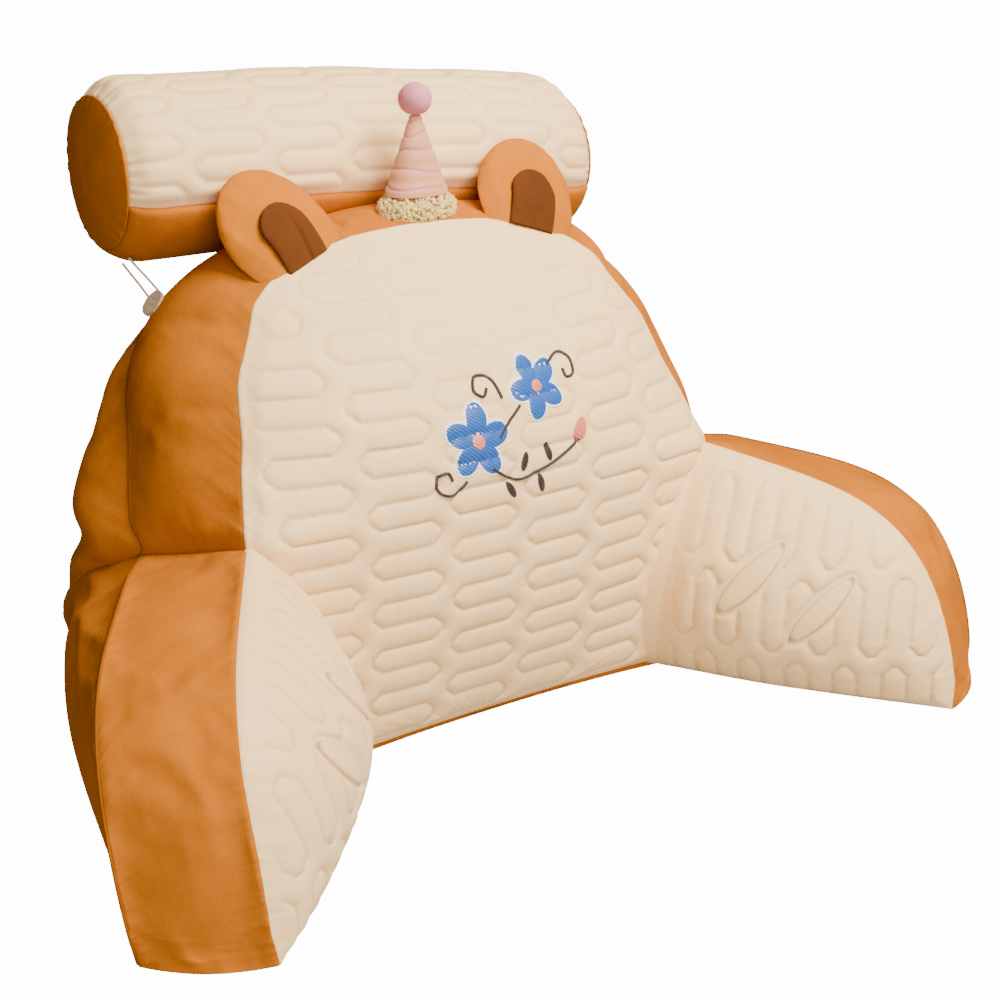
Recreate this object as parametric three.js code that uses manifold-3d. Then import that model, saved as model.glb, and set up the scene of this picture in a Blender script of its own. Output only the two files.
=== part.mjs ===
// Backrest pillow with two splayed arms, a neck roll, two ears and a small pointed hat.
// Millimetres, +Z up. The pillow stands on its flat underside, the sitter leans on it from -Y.
import * as THREE from 'three';
import Module from 'manifold-3d';
import { mergeVertices } from 'three/addons/utils/BufferGeometryUtils.js';

const wasm = await Module();
wasm.setup();

// Driving dimensions
const pieceGap = 0.4;
const seamToOrigin = 75;

// Front seam of the back: straight up to the arm tops, then leaning back
const footHalfWidth = 190.6;
const armTop = 216;
const shoulderHalfWidth = 241.4;
const shoulderDepth = 5.6;
const backLean = 0.5475;

// Arms: splay from the -Y axis, run of the inner seam, width of the band between the two faces
const armSplay = THREE.MathUtils.degToRad(34.2);
const armLength = 279;
const armBand = 99;
const armTopFall = 0.19;
const armSeamDrop = 28;
const armInnerCrown = 24;
const armOuterCrown = 44;
const armTipCrown = 10;

// Mitre plane where an arm meets the back
const mitreAngle = THREE.MathUtils.degToRad(61.9);
const mitreBand = 113;
const mitreCrown = 50;

// Quilting: stitched lines a row apart, turning back at the ends of each column
const quiltRow = 21.5;
const quiltColumn = 101;
const quiltHalfRun = 34;
const quiltTip = 46;
const puff = 2.6;
const panelEdge = 2;
const panelPadding = 3;
const panelFoot = 6;
const panelRoot = 3;
const seamInset = 0.5;

// Neck roll
const roll = { halfLength: 240, radius: 79.6, depth: 253, height: 473, droop: 8, tilt: 14.3, round: 26 };
const rollCap = { inner: 240.4, outer: 255, radius: 78 };
const undersideFrom = THREE.MathUtils.degToRad(-18);
const undersideTo = THREE.MathUtils.degToRad(-162);
const undersideThickness = 2;

// Trim
const ear = { halfWidth: 50, halfDepth: 17, halfHeight: 52, lift: 41, setBack: 14 };
const earPatch = { halfWidth: 23, height: 56, thickness: 1.4 };
const hat = { x: -3, depth: 141, foot: 428, brimHeight: 27, brimHalfWidth: 34, brimHalfDepth: 23 };
const cone = { halfWidth: 27.5, halfDepth: 20, height: 74, tipRadius: 6 };
const pompomRadius = 14;
const button = { radius: 12.3, thickness: 3.4, holeRadius: 1.3, holeOffset: 3.1 };
const buttonRing = 15;
const buttonDepth = 0.85;
const loopCord = { radius: 1.3, sides: 6, steps: 30 };
const loopRoot = { x: 234, angle: THREE.MathUtils.degToRad(-66) };

// Front and rear seams of the back above the arms, and the crests of both faces at mid width
const highRows = [
  { height: 240, halfWidth: 235.5, crest: -14, rearHeight: 213, rearHalfWidth: 289, rearDepth: 119, rearCrest: 232, band: 8 },
  { height: 264, halfWidth: 229, crest: -10, rearHeight: 240, rearHalfWidth: 282, rearDepth: 134, rearCrest: 238, band: 13 },
  { height: 290, halfWidth: 220, crest: -2, rearHeight: 268, rearHalfWidth: 272, rearDepth: 152, rearCrest: 243, band: 16 },
  { height: 312, halfWidth: 215, crest: 9, rearHeight: 292, rearHalfWidth: 265, rearDepth: 168, rearCrest: 247, band: 17 },
  { height: 333, halfWidth: 209, crest: 22, rearHeight: 314, rearHalfWidth: 256, rearDepth: 183, rearCrest: 249, band: 18 },
  { height: 352, halfWidth: 197, crest: 37, rearHeight: 332, rearHalfWidth: 244, rearDepth: 195, rearCrest: 249, band: 19 },
  { height: 368, halfWidth: 187, crest: 52, rearHeight: 347, rearHalfWidth: 231, rearDepth: 205, rearCrest: 248, band: 20 },
  { height: 384, halfWidth: 178, crest: 69, rearHeight: 360, rearHalfWidth: 215, rearDepth: 214, rearCrest: 246, band: 21 },
  { height: 396, halfWidth: 164, crest: 83, rearHeight: 371, rearHalfWidth: 196, rearDepth: 220, rearCrest: 244, band: 22 },
  { height: 407, halfWidth: 145, crest: 97, rearHeight: 380, rearHalfWidth: 171, rearDepth: 226, rearCrest: 242, band: 23 },
  { height: 417, halfWidth: 118, crest: 110, rearHeight: 388, rearHalfWidth: 138, rearDepth: 231, rearCrest: 240, band: 24 },
  { height: 427, halfWidth: 70, crest: 121, rearHeight: 393, rearHalfWidth: 80, rearDepth: 235, rearCrest: 238, band: 24 },
];

// Below the arm tops the sides lie in the mitre planes
const lowRows = [
  { height: 0, crest: 12, swell: 0.45, rearCrest: 152 },
  { height: panelFoot, crest: 9, swell: 0.52, rearCrest: 158 },
  { height: 40, crest: -3, swell: 0.8, rearCrest: 178 },
  { height: 76, crest: -12, swell: 0.97, rearCrest: 197 },
  { height: 112, crest: -17, swell: 0.95, rearCrest: 212 },
  { height: 148, crest: -19, swell: 0.76, rearCrest: 222 },
  { height: 184, crest: -18, swell: 0.42, rearCrest: 227 },
  { height: armTop, crest: -16, swell: 0, rearCrest: 230 },
];

// Leaf-shaped patches on the arm panels: middle, half length and slant in the panel's own plane
const leaves = [
  { name: 'lower', run: 92, height: 118, halfLength: 44, halfWidth: 12, slant: 50 },
  { name: 'upper', run: 158, height: 96, halfLength: 40, halfWidth: 11, slant: 50 },
];

const orange = new THREE.Color(0xd68a38);
const cream = new THREE.Color(0xe6d6c2);
const brown = new THREE.Color(0x96552a);
const pink = new THREE.Color(0xe0b4a8);
const rose = new THREE.Color(0xd79ea6);
const fleece = new THREE.Color(0xd6cda4);
const horn = new THREE.Color(0xc8ae9e);
const cordColor = new THREE.Color(0xcbb8a0);

// Directions of the right arm and of the right mitre
const foot = new THREE.Vector3(footHalfWidth, 0, 0);
const rise = new THREE.Vector3(shoulderHalfWidth - footHalfWidth, shoulderDepth, armTop);
const armRun = new THREE.Vector3(Math.sin(armSplay), -Math.cos(armSplay), 0);
const armOut = new THREE.Vector3(Math.cos(armSplay), Math.sin(armSplay), 0);
const mitreRun = new THREE.Vector3(Math.cos(mitreAngle), Math.sin(mitreAngle), 0);
const armStart = rise.dot(armRun);
const armLean = rise.dot(armOut) / armTop;

// Bends a unit block, divided by the given counts, into a closed skin
function bend(counts, place) {
  const skin = bareSkin(new THREE.BoxGeometry(1, 1, 1, ...counts));
  const position = skin.attributes.position;
  const p = new THREE.Vector3();
  for (let i = 0; i < position.count; i += 1) {
    p.fromBufferAttribute(position, i).addScalar(0.5);
    const q = place(p.x, p.y, p.z);
    position.setXYZ(i, q.x, q.y, q.z);
  }
  return skin;
}

function bareSkin(geometry) {
  const bare = geometry.clone();
  bare.deleteAttribute('normal');
  bare.deleteAttribute('uv');
  return mergeVertices(bare, 1e-4);
}

function mirrored(geometry) {
  const copy = bareSkin(geometry);
  copy.scale(-1, 1, 1);
  const index = copy.index;
  for (let i = 0; i < index.count; i += 3) {
    const a = index.getX(i);
    index.setX(i, index.getX(i + 1));
    index.setX(i + 1, a);
  }
  return copy;
}

function toSolid(geometry) {
  const merged = bareSkin(geometry);
  const mesh = new wasm.Mesh({
    numProp: 3,
    vertProperties: new Float32Array(merged.attributes.position.array),
    triVerts: new Uint32Array(merged.index.array),
  });
  return new wasm.Manifold(mesh);
}

function toGeometry(solid) {
  const mesh = solid.getMesh();
  const geometry = new THREE.BufferGeometry();
  geometry.setAttribute('position', new THREE.BufferAttribute(new Float32Array(mesh.vertProperties), 3));
  geometry.setIndex(new THREE.BufferAttribute(new Uint32Array(mesh.triVerts), 1));
  return geometry;
}

// Cuts a solid back so that it clears a neighbour by the piece gap on every side
function clearOf(solid, neighbour) {
  let result = solid.subtract(neighbour);
  for (const axis of [[1, 0, 0], [0, 1, 0], [0, 0, 1]]) {
    for (const way of [-1, 1]) {
      const shift = axis.map((part) => part * way * pieceGap);
      result = result.subtract(neighbour.translate(shift));
    }
  }
  return result;
}

// Seam points and crests of the back, one ring for each row
function lowRing(row) {
  const part = row.height / armTop;
  const front = foot.clone().addScaledVector(rise, part);
  const rearHeight = part * (armTop - armSeamDrop);
  const reach = mitreBand + mitreCrown * row.swell;
  const rear = foot.clone().addScaledVector(rise, rearHeight / armTop).addScaledVector(mitreRun, reach);
  return { front, rear, crest: row.crest, rearCrest: row.rearCrest, band: 0, arch: 0 };
}

function highRing(row, index) {
  const front = new THREE.Vector3(
    row.halfWidth,
    shoulderDepth + (row.height - armTop) * backLean,
    row.height,
  );
  const rear = new THREE.Vector3(row.rearHalfWidth, row.rearDepth, row.rearHeight);
  const arch = index === highRows.length - 1 ? 4 : 0;
  return { front, rear, crest: row.crest, rearCrest: row.rearCrest, band: row.band, arch };
}

const rings = [...lowRows.map(lowRing), ...highRows.map(highRing)];

// Outward direction of the band at a ring, square to the front seam
function bandDirection(index) {
  if (index === rings.length - 1) return new THREE.Vector3(0, 0, 1);
  const below = rings[Math.max(index - 1, 0)].front;
  const above = rings[index + 1].front;
  return new THREE.Vector3(above.z - below.z, 0, below.x - above.x).normalize();
}

function swell(across) {
  return 1 - Math.abs(across) ** 2.3;
}

function frontOfBack(across, ring) {
  return new THREE.Vector3(
    across * ring.front.x,
    ring.front.y + (ring.crest - ring.front.y) * swell(across),
    ring.front.z + ring.arch * (1 - across * across),
  );
}

function rearOfBack(across, ring) {
  return new THREE.Vector3(
    across * ring.rear.x,
    ring.rear.y + (ring.rearCrest - ring.rear.y) * swell(across),
    ring.rear.z + ring.arch * (1 - across * across),
  );
}

function arc(part) {
  return 4 * part * (1 - part);
}

function backCushion() {
  const last = rings.length - 1;
  return bend([14, last, 4], (u, v, w) => {
    const across = 2 * u - 1;
    const index = Math.round(v * last);
    const ring = rings[index];
    const depth = 1 - w;
    const point = frontOfBack(across, ring).lerp(rearOfBack(across, ring), depth);
    const out = bandDirection(index);
    out.x *= Math.sign(across);
    return point.addScaledVector(out, ring.band * arc(depth));
  });
}

// Ring of the back at any height, between the rows of the tables
function ringAt(height) {
  let upper = 1;
  while (upper < rings.length - 1 && rings[upper].front.z < height) upper += 1;
  const a = rings[upper - 1];
  const b = rings[upper];
  const part = (height - a.front.z) / (b.front.z - a.front.z);
  const blend = (key) => THREE.MathUtils.lerp(a[key], b[key], part);
  return { front: a.front.clone().lerp(b.front, part), crest: blend('crest'), arch: blend('arch') };
}

// How far a point of quilted cloth stands proud of its stitched lines, 0 to 1
function quilting(along, row) {
  const line = row / quiltRow;
  const column = Math.round(along / quiltColumn);
  const offset = along - column * quiltColumn;
  const nearest = Math.round(line);
  const onLine = Math.abs(line - nearest) < 0.25;
  if (onLine) return Math.abs(offset) > quiltHalfRun + 1 ? 1 : 0;
  const turnsRight = Math.floor(line) % 2 === 0;
  const atTip = Math.abs(offset) > quiltTip - 1 && (offset > 0) === turnsRight;
  return atTip ? 0 : 1;
}

// Places of the mesh columns across the quilting, drawn together where the panel narrows
function quiltColumns(count) {
  const places = [];
  for (let column = -count; column <= count; column += 1) {
    for (const offset of [-quiltTip, -quiltHalfRun, quiltHalfRun, quiltTip]) {
      places.push(column * quiltColumn + offset);
    }
  }
  return places;
}

function drawnIn(place, halfWidth, index, count) {
  const margin = 14;
  const limit = halfWidth - margin;
  if (Math.abs(place) <= limit) return place;
  const edgeward = Math.abs(index - (count - 1) / 2) / ((count - 1) / 2);
  return Math.sign(place) * (limit + margin * edgeward ** 3);
}

function padding(edge) {
  return panelEdge + panelPadding * Math.min(edge / 30, 1);
}

function backPanel() {
  const places = quiltColumns(2).filter((place) => Math.abs(place) < 235);
  const columns = [-shoulderHalfWidth, ...places, shoulderHalfWidth];
  const rows = [panelFoot];
  for (let line = 1; line < 39; line += 1) rows.push(panelFoot + line * quiltRow / 2);
  const top = rings[rings.length - 1].front.z;
  const heights = rows.filter((height) => height < top - 6).concat(top);
  const count = columns.length;
  return bend([count - 1, heights.length - 1, 1], (u, v, w) => {
    const index = Math.round(u * (count - 1));
    const level = Math.round(v * (heights.length - 1));
    const height = heights[level];
    const ring = ringAt(height);
    const side = index === 0 ? -1 : 1;
    const atSide = index === 0 || index === count - 1;
    const reach = ring.front.x - seamInset;
    const x = atSide ? side * reach : drawnIn(columns[index], reach, index, count);
    const point = frontOfBack(x / ring.front.x, ring);
    const edge = Math.min(ring.front.x - Math.abs(x), height - panelFoot, top - height);
    const proud = edge > 8 ? puff * quilting(x, height - panelFoot) : 0;
    point.y -= w > 0.5 ? pieceGap + padding(edge) + proud : -panelRoot;
    return point;
  });
}

// Height of the arm's inner seam along its run
function armHeight(run) {
  const part = Math.max(run - armStart, 0) / (armLength - armStart);
  return (armTop - armTopFall * Math.max(run - armStart, 0)) * Math.max(1 - part ** 5, 0) ** 0.6;
}

const armTipRun = 277;

// Inner face of the right arm, at a share of its run and of its height
function innerOfArm(share, up) {
  const startRun = armStart * up;
  const run = startRun + (armTipRun - startRun) * share;
  const height = up * armHeight(run);
  const point = foot.clone().addScaledVector(armRun, run);
  point.addScaledVector(armOut, height * armLean);
  point.z = height;
  const crown = armInnerCrown * Math.sin(Math.PI * Math.min(up * 0.94 + 0.06 * up, 1)) ** 0.8;
  const along = Math.min(share / 0.3, 1) * (1 - share ** 4) * (share > 0 ? 1 : 0);
  return point.addScaledVector(armOut, -crown * along);
}

// Outer face, with the bulge of the mitre carried along the arm
const outerSwell = [0.45, 0.62, 0.84, 0.98, 0.96, 0.76, 0.42, 0];

function outerShape(up) {
  const place = up * (outerSwell.length - 1);
  const low = Math.min(Math.floor(place), outerSwell.length - 2);
  return THREE.MathUtils.lerp(outerSwell[low], outerSwell[low + 1], place - low);
}

function outerOfArm(share, up) {
  const swollen = outerShape(up);
  const mitreHeight = up * (armTop - armSeamDrop);
  const atMitre = foot.clone().addScaledVector(rise, mitreHeight / armTop);
  atMitre.addScaledVector(mitreRun, mitreBand + mitreCrown * swollen);
  if (share === 0) return atMitre;
  const startRun = atMitre.clone().sub(foot).dot(armRun);
  const run = startRun + (armTipRun - startRun) * share;
  const top = armHeight(Math.max(run, armStart)) - armSeamDrop * (1 - share);
  const height = up * Math.max(top, 4);
  const crown = THREE.MathUtils.lerp(armOuterCrown, armOuterCrown * 0.55, share) * swollen;
  const point = foot.clone().addScaledVector(armRun, run);
  point.addScaledVector(armOut, armBand + crown + height * armLean);
  point.z = height;
  return point;
}

function armCushion() {
  const along = 13;
  const levels = 7;
  return bend([along, levels, 4], (u, v, w) => {
    const share = Math.sin((u * Math.PI) / 2) ** 0.9;
    const depth = 1 - w;
    const inner = innerOfArm(share, v);
    const point = inner.lerp(outerOfArm(share, v), depth);
    const atTop = v > 0.999 ? 1 : 0;
    const atTip = u > 0.999 ? 1 : 0;
    point.z += 9 * arc(depth) * atTop * Math.min(share / 0.2, 1);
    point.addScaledVector(armRun, armTipCrown * arc(depth) * atTip + pieceGap);
    return point;
  });
}

function armPanel() {
  const runs = [armStart];
  for (let line = 2; runs[runs.length - 1] < armTipRun - 14; line += 1) runs.push(line * quiltRow / 2 + 4);
  runs.push(armTipRun - 1);
  const levels = 9;
  const count = runs.length;
  return bend([count - 1, levels, 1], (u, v, w) => {
    const index = Math.round(u * (count - 1));
    const run = runs[index];
    const share = (run - armStart) / (armTipRun - armStart);
    const up = 0.03 + v * 0.965;
    const point = innerOfArm(share, up);
    const height = point.z;
    const edge = Math.min(run - armStart, armTipRun - run, height - 4, armHeight(run) - height);
    const proud = edge > 8 && !inLeaf(run, height) ? puff * quilting(height - 50, run) : 0;
    const lift = w > 0.5 ? pieceGap + padding(Math.max(edge, 0)) + proud : -panelRoot;
    point.addScaledVector(armOut, -lift);
    point.addScaledVector(armRun, pieceGap);
    return point;
  });
}

// Leaf patch axes in the plane of the arm panel
function leafPoint(leaf, along, across) {
  const slant = THREE.MathUtils.degToRad(leaf.slant);
  const bow = 1 - along * along;
  const reach = along * leaf.halfLength;
  const side = across * leaf.halfWidth * bow ** 0.8;
  return {
    run: leaf.run - reach * Math.cos(slant) + side * Math.sin(slant),
    height: leaf.height - reach * Math.sin(slant) - side * Math.cos(slant),
  };
}

function inLeaf(run, height) {
  return leaves.some((leaf) => {
    const slant = THREE.MathUtils.degToRad(leaf.slant);
    const dr = run - leaf.run;
    const dz = height - leaf.height;
    const along = -dr * Math.cos(slant) - dz * Math.sin(slant);
    const across = dr * Math.sin(slant) - dz * Math.cos(slant);
    return Math.abs(along) < leaf.halfLength + 8 && Math.abs(across) < leaf.halfWidth + 8;
  });
}

function leafPatch(leaf) {
  return bend([8, 2, 1], (u, v, w) => {
    const along = (2 * u - 1) * 0.97;
    const { run, height } = leafPoint(leaf, along, 2 * v - 1);
    const up = height / armHeight(run);
    const share = (run - armStart * up) / (armTipRun - armStart * up);
    const point = innerOfArm(share, up);
    const lift = pieceGap * 2 + panelEdge + panelPadding + 1.2 + (w > 0.5 ? 1.2 : 0);
    point.addScaledVector(armOut, -lift);
    return point;
  });
}

// Axis of the neck roll: level at the middle, drooping and tilting towards its ends
function rollAxis(x) {
  const share = x / roll.halfLength;
  return new THREE.Vector3(x, roll.depth, roll.height - roll.droop * share * share - roll.tilt * share);
}

function rollRadius(x) {
  const into = Math.max(Math.abs(x) - (roll.halfLength - roll.round), 0) / roll.round;
  return roll.radius - 6 * into * into;
}

function rollPoint(x, angle, lift) {
  const radius = rollRadius(x) + lift;
  const point = rollAxis(x);
  point.y -= radius * Math.cos(angle);
  point.z += radius * Math.sin(angle);
  return point;
}

// Filled cylinder along X whose rings follow the roll
function rollSolid(places, around, liftAt) {
  const skin = bareSkin(new THREE.CylinderGeometry(1, 1, 1, around, places.length - 1));
  const position = skin.attributes.position;
  for (let i = 0; i < position.count; i += 1) {
    const y = -position.getX(i);
    const z = position.getZ(i);
    const level = Math.round((position.getY(i) + 0.5) * (places.length - 1));
    const x = places[level];
    const angle = Math.atan2(z, -y);
    const centre = Math.hypot(y, z) < 0.5;
    const point = centre ? rollAxis(x) : rollPoint(x, angle, liftAt(x, angle));
    position.setXYZ(i, point.x, point.y, point.z);
  }
  return skin;
}

function onUnderside(angle) {
  return angle < undersideFrom + 0.03 && angle > undersideTo - 0.03;
}

function neckRoll() {
  const inside = quiltColumns(2).filter((place) => Math.abs(place) < roll.halfLength - 6);
  const places = [-roll.halfLength, ...inside, roll.halfLength];
  const around = 40;
  const step = (2 * Math.PI) / around;
  return rollSolid(places, around, (x, angle) => {
    if (onUnderside(angle) || Math.abs(x) > roll.halfLength - 8) return -undersideThickness - 2 * pieceGap;
    const line = Math.round((angle - undersideFrom) / step);
    return puff * quilting(x, (line * quiltRow) / 2) - puff;
  });
}

function rollUnderside() {
  return bend([12, 12, 1], (u, v, w) => {
    const x = (2 * u - 1) * (roll.halfLength - 2);
    const angle = THREE.MathUtils.lerp(undersideTo - 0.02, undersideFrom + 0.02, v);
    return rollPoint(x, angle, w > 0.5 ? -0.2 : -undersideThickness);
  });
}

// Domed disc that closes one end of the roll
function rollEnd(side) {
  const profile = [
    { along: 0, radius: 0 },
    { along: 0, radius: rollCap.radius - 5 },
    { along: 3, radius: rollCap.radius - 4 },
    { along: 7, radius: rollCap.radius - 8 },
    { along: 11, radius: rollCap.radius - 20 },
    { along: 14, radius: rollCap.radius - 44 },
    { along: rollCap.outer - rollCap.inner, radius: 0 },
  ].map((row) => new THREE.Vector2(row.radius, row.along));
  const disc = new THREE.LatheGeometry(profile, 32);
  disc.rotateZ(side > 0 ? -Math.PI / 2 : Math.PI / 2);
  const seat = rollAxis(side * rollCap.inner);
  disc.translate(seat.x, seat.y, seat.z);
  return disc;
}

// Ears: puffed ovals standing on the band just behind the front seam
function earFrame(side) {
  const low = side < 0 ? new THREE.Vector3(-160, 103, 397) : new THREE.Vector3(155, 105, 401);
  const high = side < 0 ? new THREE.Vector3(-77, 121, 428) : new THREE.Vector3(73, 121, 429);
  const base = low.clone().add(high).multiplyScalar(0.5);
  const acrossAxis = side < 0 ? high.clone().sub(low) : low.clone().sub(high);
  acrossAxis.normalize();
  const backAxis = new THREE.Vector3(0, Math.cos(0.5), -Math.sin(0.5));
  const upAxis = new THREE.Vector3().crossVectors(acrossAxis, backAxis).normalize();
  backAxis.crossVectors(upAxis, acrossAxis).normalize();
  const centre = base.addScaledVector(upAxis, ear.lift).addScaledVector(backAxis, ear.setBack);
  return new THREE.Matrix4().makeBasis(acrossAxis, backAxis, upAxis).setPosition(centre);
}

function earOval(extra) {
  const oval = new THREE.SphereGeometry(1, 22, 14);
  oval.rotateX(Math.PI / 2);
  oval.scale(ear.halfWidth + extra, ear.halfDepth + extra, ear.halfHeight + extra);
  return oval;
}

function earPatchBlock() {
  const outline = new THREE.Shape();
  const shoulder = earPatch.height - earPatch.halfWidth;
  outline.moveTo(-earPatch.halfWidth, 0);
  outline.lineTo(earPatch.halfWidth, 0);
  outline.lineTo(earPatch.halfWidth, shoulder);
  outline.absarc(0, shoulder, earPatch.halfWidth, 0, Math.PI, false);
  outline.closePath();
  const block = new THREE.ExtrudeGeometry(outline, { depth: 60, bevelEnabled: false, curveSegments: 10 });
  block.rotateX(Math.PI / 2);
  block.translate(0, 0, -ear.lift - 8);
  return block;
}

function buildEar(side, neighbours) {
  const frame = earFrame(side);
  let solid = toSolid(earOval(0).applyMatrix4(frame));
  let patch = toSolid(earOval(earPatch.thickness + pieceGap).applyMatrix4(frame));
  patch = patch.intersect(toSolid(earPatchBlock().applyMatrix4(frame)));
  patch = patch.subtract(toSolid(earOval(pieceGap).applyMatrix4(frame)));
  for (const neighbour of neighbours) {
    solid = clearOf(solid, neighbour);
    patch = clearOf(patch, neighbour);
  }
  return { solid: largest(solid), patch: largest(patch) };
}

function largest(solid) {
  const parts = solid.decompose();
  return parts.reduce((best, part) => (part.volume() > best.volume() ? part : best));
}

// Hat: fleece brim on the seam, wrinkled cone and a ball on its tip
function hatBrim() {
  const half = hat.brimHeight / 2;
  const profile = [
    [0, -half - 8],
    [0.9, -half - 8],
    [0.96, -half],
    [1, -half * 0.4],
    [1, half * 0.4],
    [0.94, half * 0.85],
    [0.84, half],
    [0, half],
  ].map(([radius, along]) => new THREE.Vector2(radius, along));
  const brim = new THREE.LatheGeometry(profile, 24);
  brim.rotateX(Math.PI / 2);
  brim.scale(hat.brimHalfWidth, hat.brimHalfDepth, 1);
  brim.translate(hat.x, hat.depth, hat.foot + half);
  return brim;
}

function hatCone() {
  const profile = [new THREE.Vector2(0, 0)];
  const folds = 4;
  for (let i = 0; i <= folds * 3; i += 1) {
    const part = i / (folds * 3);
    const straight = THREE.MathUtils.lerp(1, cone.tipRadius / cone.halfWidth, part);
    const crease = i % 3 === 2 ? -0.035 : 0.01;
    profile.push(new THREE.Vector2(straight + crease * (1 - part * 0.6), part * cone.height));
  }
  profile.push(new THREE.Vector2(0, cone.height));
  const skin = new THREE.LatheGeometry(profile, 16);
  skin.rotateX(Math.PI / 2);
  skin.scale(cone.halfWidth, cone.halfDepth, 1);
  skin.translate(hat.x, hat.depth, hat.foot + hat.brimHeight + pieceGap);
  return skin;
}

function hatPompom() {
  const ball = new THREE.SphereGeometry(pompomRadius, 14, 9);
  const top = hat.foot + hat.brimHeight + cone.height + 2 * pieceGap;
  const flat = new THREE.Vector3();
  const position = ball.attributes.position;
  ball.translate(hat.x, hat.depth, top + pompomRadius - 1.6);
  for (let i = 0; i < position.count; i += 1) {
    flat.fromBufferAttribute(position, i);
    position.setZ(i, Math.max(flat.z, top));
  }
  return ball;
}

// Four-hole button on the band near its rear corner, with a loop from the roll around its thread
function buttonSeat(side) {
  const ring = rings[buttonRing];
  const normal = bandDirection(buttonRing);
  const place = ring.front.clone().lerp(ring.rear, buttonDepth);
  const lift = ring.band * arc(buttonDepth) + 2 * loopCord.radius + 4 * pieceGap;
  place.addScaledVector(normal, lift);
  place.x *= side;
  normal.x *= side;
  return { place, normal };
}

function buttonDisc(side) {
  const { place, normal } = buttonSeat(side);
  const outline = new THREE.Shape();
  outline.absarc(0, 0, button.radius, 0, 2 * Math.PI, false);
  for (const [x, y] of [[-1, -1], [1, -1], [1, 1], [-1, 1]]) {
    const hole = new THREE.Path();
    hole.absarc(x * button.holeOffset, y * button.holeOffset, button.holeRadius, 0, 2 * Math.PI, true);
    outline.holes.push(hole);
  }
  const disc = new THREE.ExtrudeGeometry(outline, {
    depth: button.thickness,
    bevelEnabled: false,
    curveSegments: 6,
  });
  const turn = new THREE.Quaternion().setFromUnitVectors(new THREE.Vector3(0, 0, 1), normal);
  return disc.applyMatrix4(new THREE.Matrix4().makeRotationFromQuaternion(turn).setPosition(place));
}

function loopTube(side) {
  const { place, normal } = buttonSeat(side);
  const eye = place.clone().addScaledVector(normal, -loopCord.radius - pieceGap);
  const root = rollPoint(side * loopRoot.x, loopRoot.angle, loopCord.radius + pieceGap);
  const away = eye.clone().sub(root);
  away.addScaledVector(normal, -away.dot(normal)).normalize();
  const across = new THREE.Vector3().crossVectors(normal, away).normalize();
  const points = [
    root.clone().addScaledVector(across, 4),
    eye.clone().addScaledVector(away, -9).addScaledVector(across, 6),
    eye.clone().addScaledVector(across, 7),
    eye.clone().addScaledVector(away, 7),
    eye.clone().addScaledVector(across, -7),
    eye.clone().addScaledVector(away, -9).addScaledVector(across, -6),
    root.clone().addScaledVector(across, -4),
  ];
  const section = new THREE.Shape();
  section.absarc(0, 0, loopCord.radius, 0, 2 * Math.PI, false);
  return new THREE.ExtrudeGeometry(section, {
    steps: loopCord.steps,
    extrudePath: new THREE.CatmullRomCurve3(points, false, 'centripetal'),
    curveSegments: loopCord.sides / 2,
    bevelEnabled: false,
  });
}

// Assembly
const pillow = new THREE.Group();
pillow.position.y = -seamToOrigin;

function add(name, geometry, color, roughness) {
  const material = new THREE.MeshStandardMaterial({ color, roughness, metalness: 0 });
  const mesh = new THREE.Mesh(geometry, material);
  mesh.name = name;
  pillow.add(mesh);
}

const rollBed = toSolid(rollSolid([-254, -240, -214, 0, 214, 240, 254], 40, () => pieceGap));
const back = toSolid(backCushion()).subtract(rollBed);
const frontPanel = largest(toSolid(backPanel()).subtract(back.translate([0, -pieceGap, 0])));
const underside = toSolid(rollUnderside());
const neighbours = [back, frontPanel, rollBed];

add('back_cushion', toGeometry(back), orange, 0.9);
add('back_panel', toGeometry(frontPanel), cream, 0.8);
add('neck_roll', neckRoll(), cream, 0.8);
add('roll_underside', toGeometry(underside), orange, 0.9);

const arm = armCushion();
const inward = armOut.clone().multiplyScalar(-pieceGap).toArray();
const armSkin = toSolid(armPanel()).subtract(toSolid(arm).translate(inward));
const panel = toGeometry(largest(clearOf(armSkin, frontPanel)));

for (const [side, word] of [[-1, 'left'], [1, 'right']]) {
  const turned = (geometry) => (side < 0 ? mirrored(geometry) : geometry);
  add(`arm_${word}`, turned(arm), orange, 0.9);
  add(`arm_panel_${word}`, turned(panel), cream, 0.8);
  for (const leaf of leaves) {
    add(`leaf_${leaf.name}_${word}`, turned(leafPatch(leaf)), cream, 0.7);
  }
  add(`roll_end_${word}`, rollEnd(side), orange, 0.9);
  const built = buildEar(side, neighbours);
  add(`ear_${word}`, toGeometry(built.solid), orange, 0.9);
  add(`ear_patch_${word}`, toGeometry(built.patch), brown, 0.9);
  const disc = buttonDisc(side);
  add(`button_${word}`, disc, horn, 0.45);
  const held = [back, toSolid(disc), underside].reduce(clearOf, toSolid(loopTube(side)));
  add(`loop_${word}`, toGeometry(largest(held)), cordColor, 0.7);
}

let brim = toSolid(hatBrim());
for (const neighbour of neighbours) brim = clearOf(brim, neighbour);
add('hat_brim', toGeometry(largest(brim)), fleece, 1);
add('hat_cone', hatCone(), pink, 0.8);
add('hat_pompom', hatPompom(), rose, 0.85);

export default pillow;
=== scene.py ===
"""Backrest pillow with quilted panels, a neck roll, two ears and a small pointed hat."""
import math

import bmesh
import bpy
import numpy as np
from bpy.props import FloatProperty, FloatVectorProperty, PointerProperty
from mathutils import Matrix, Vector


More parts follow.
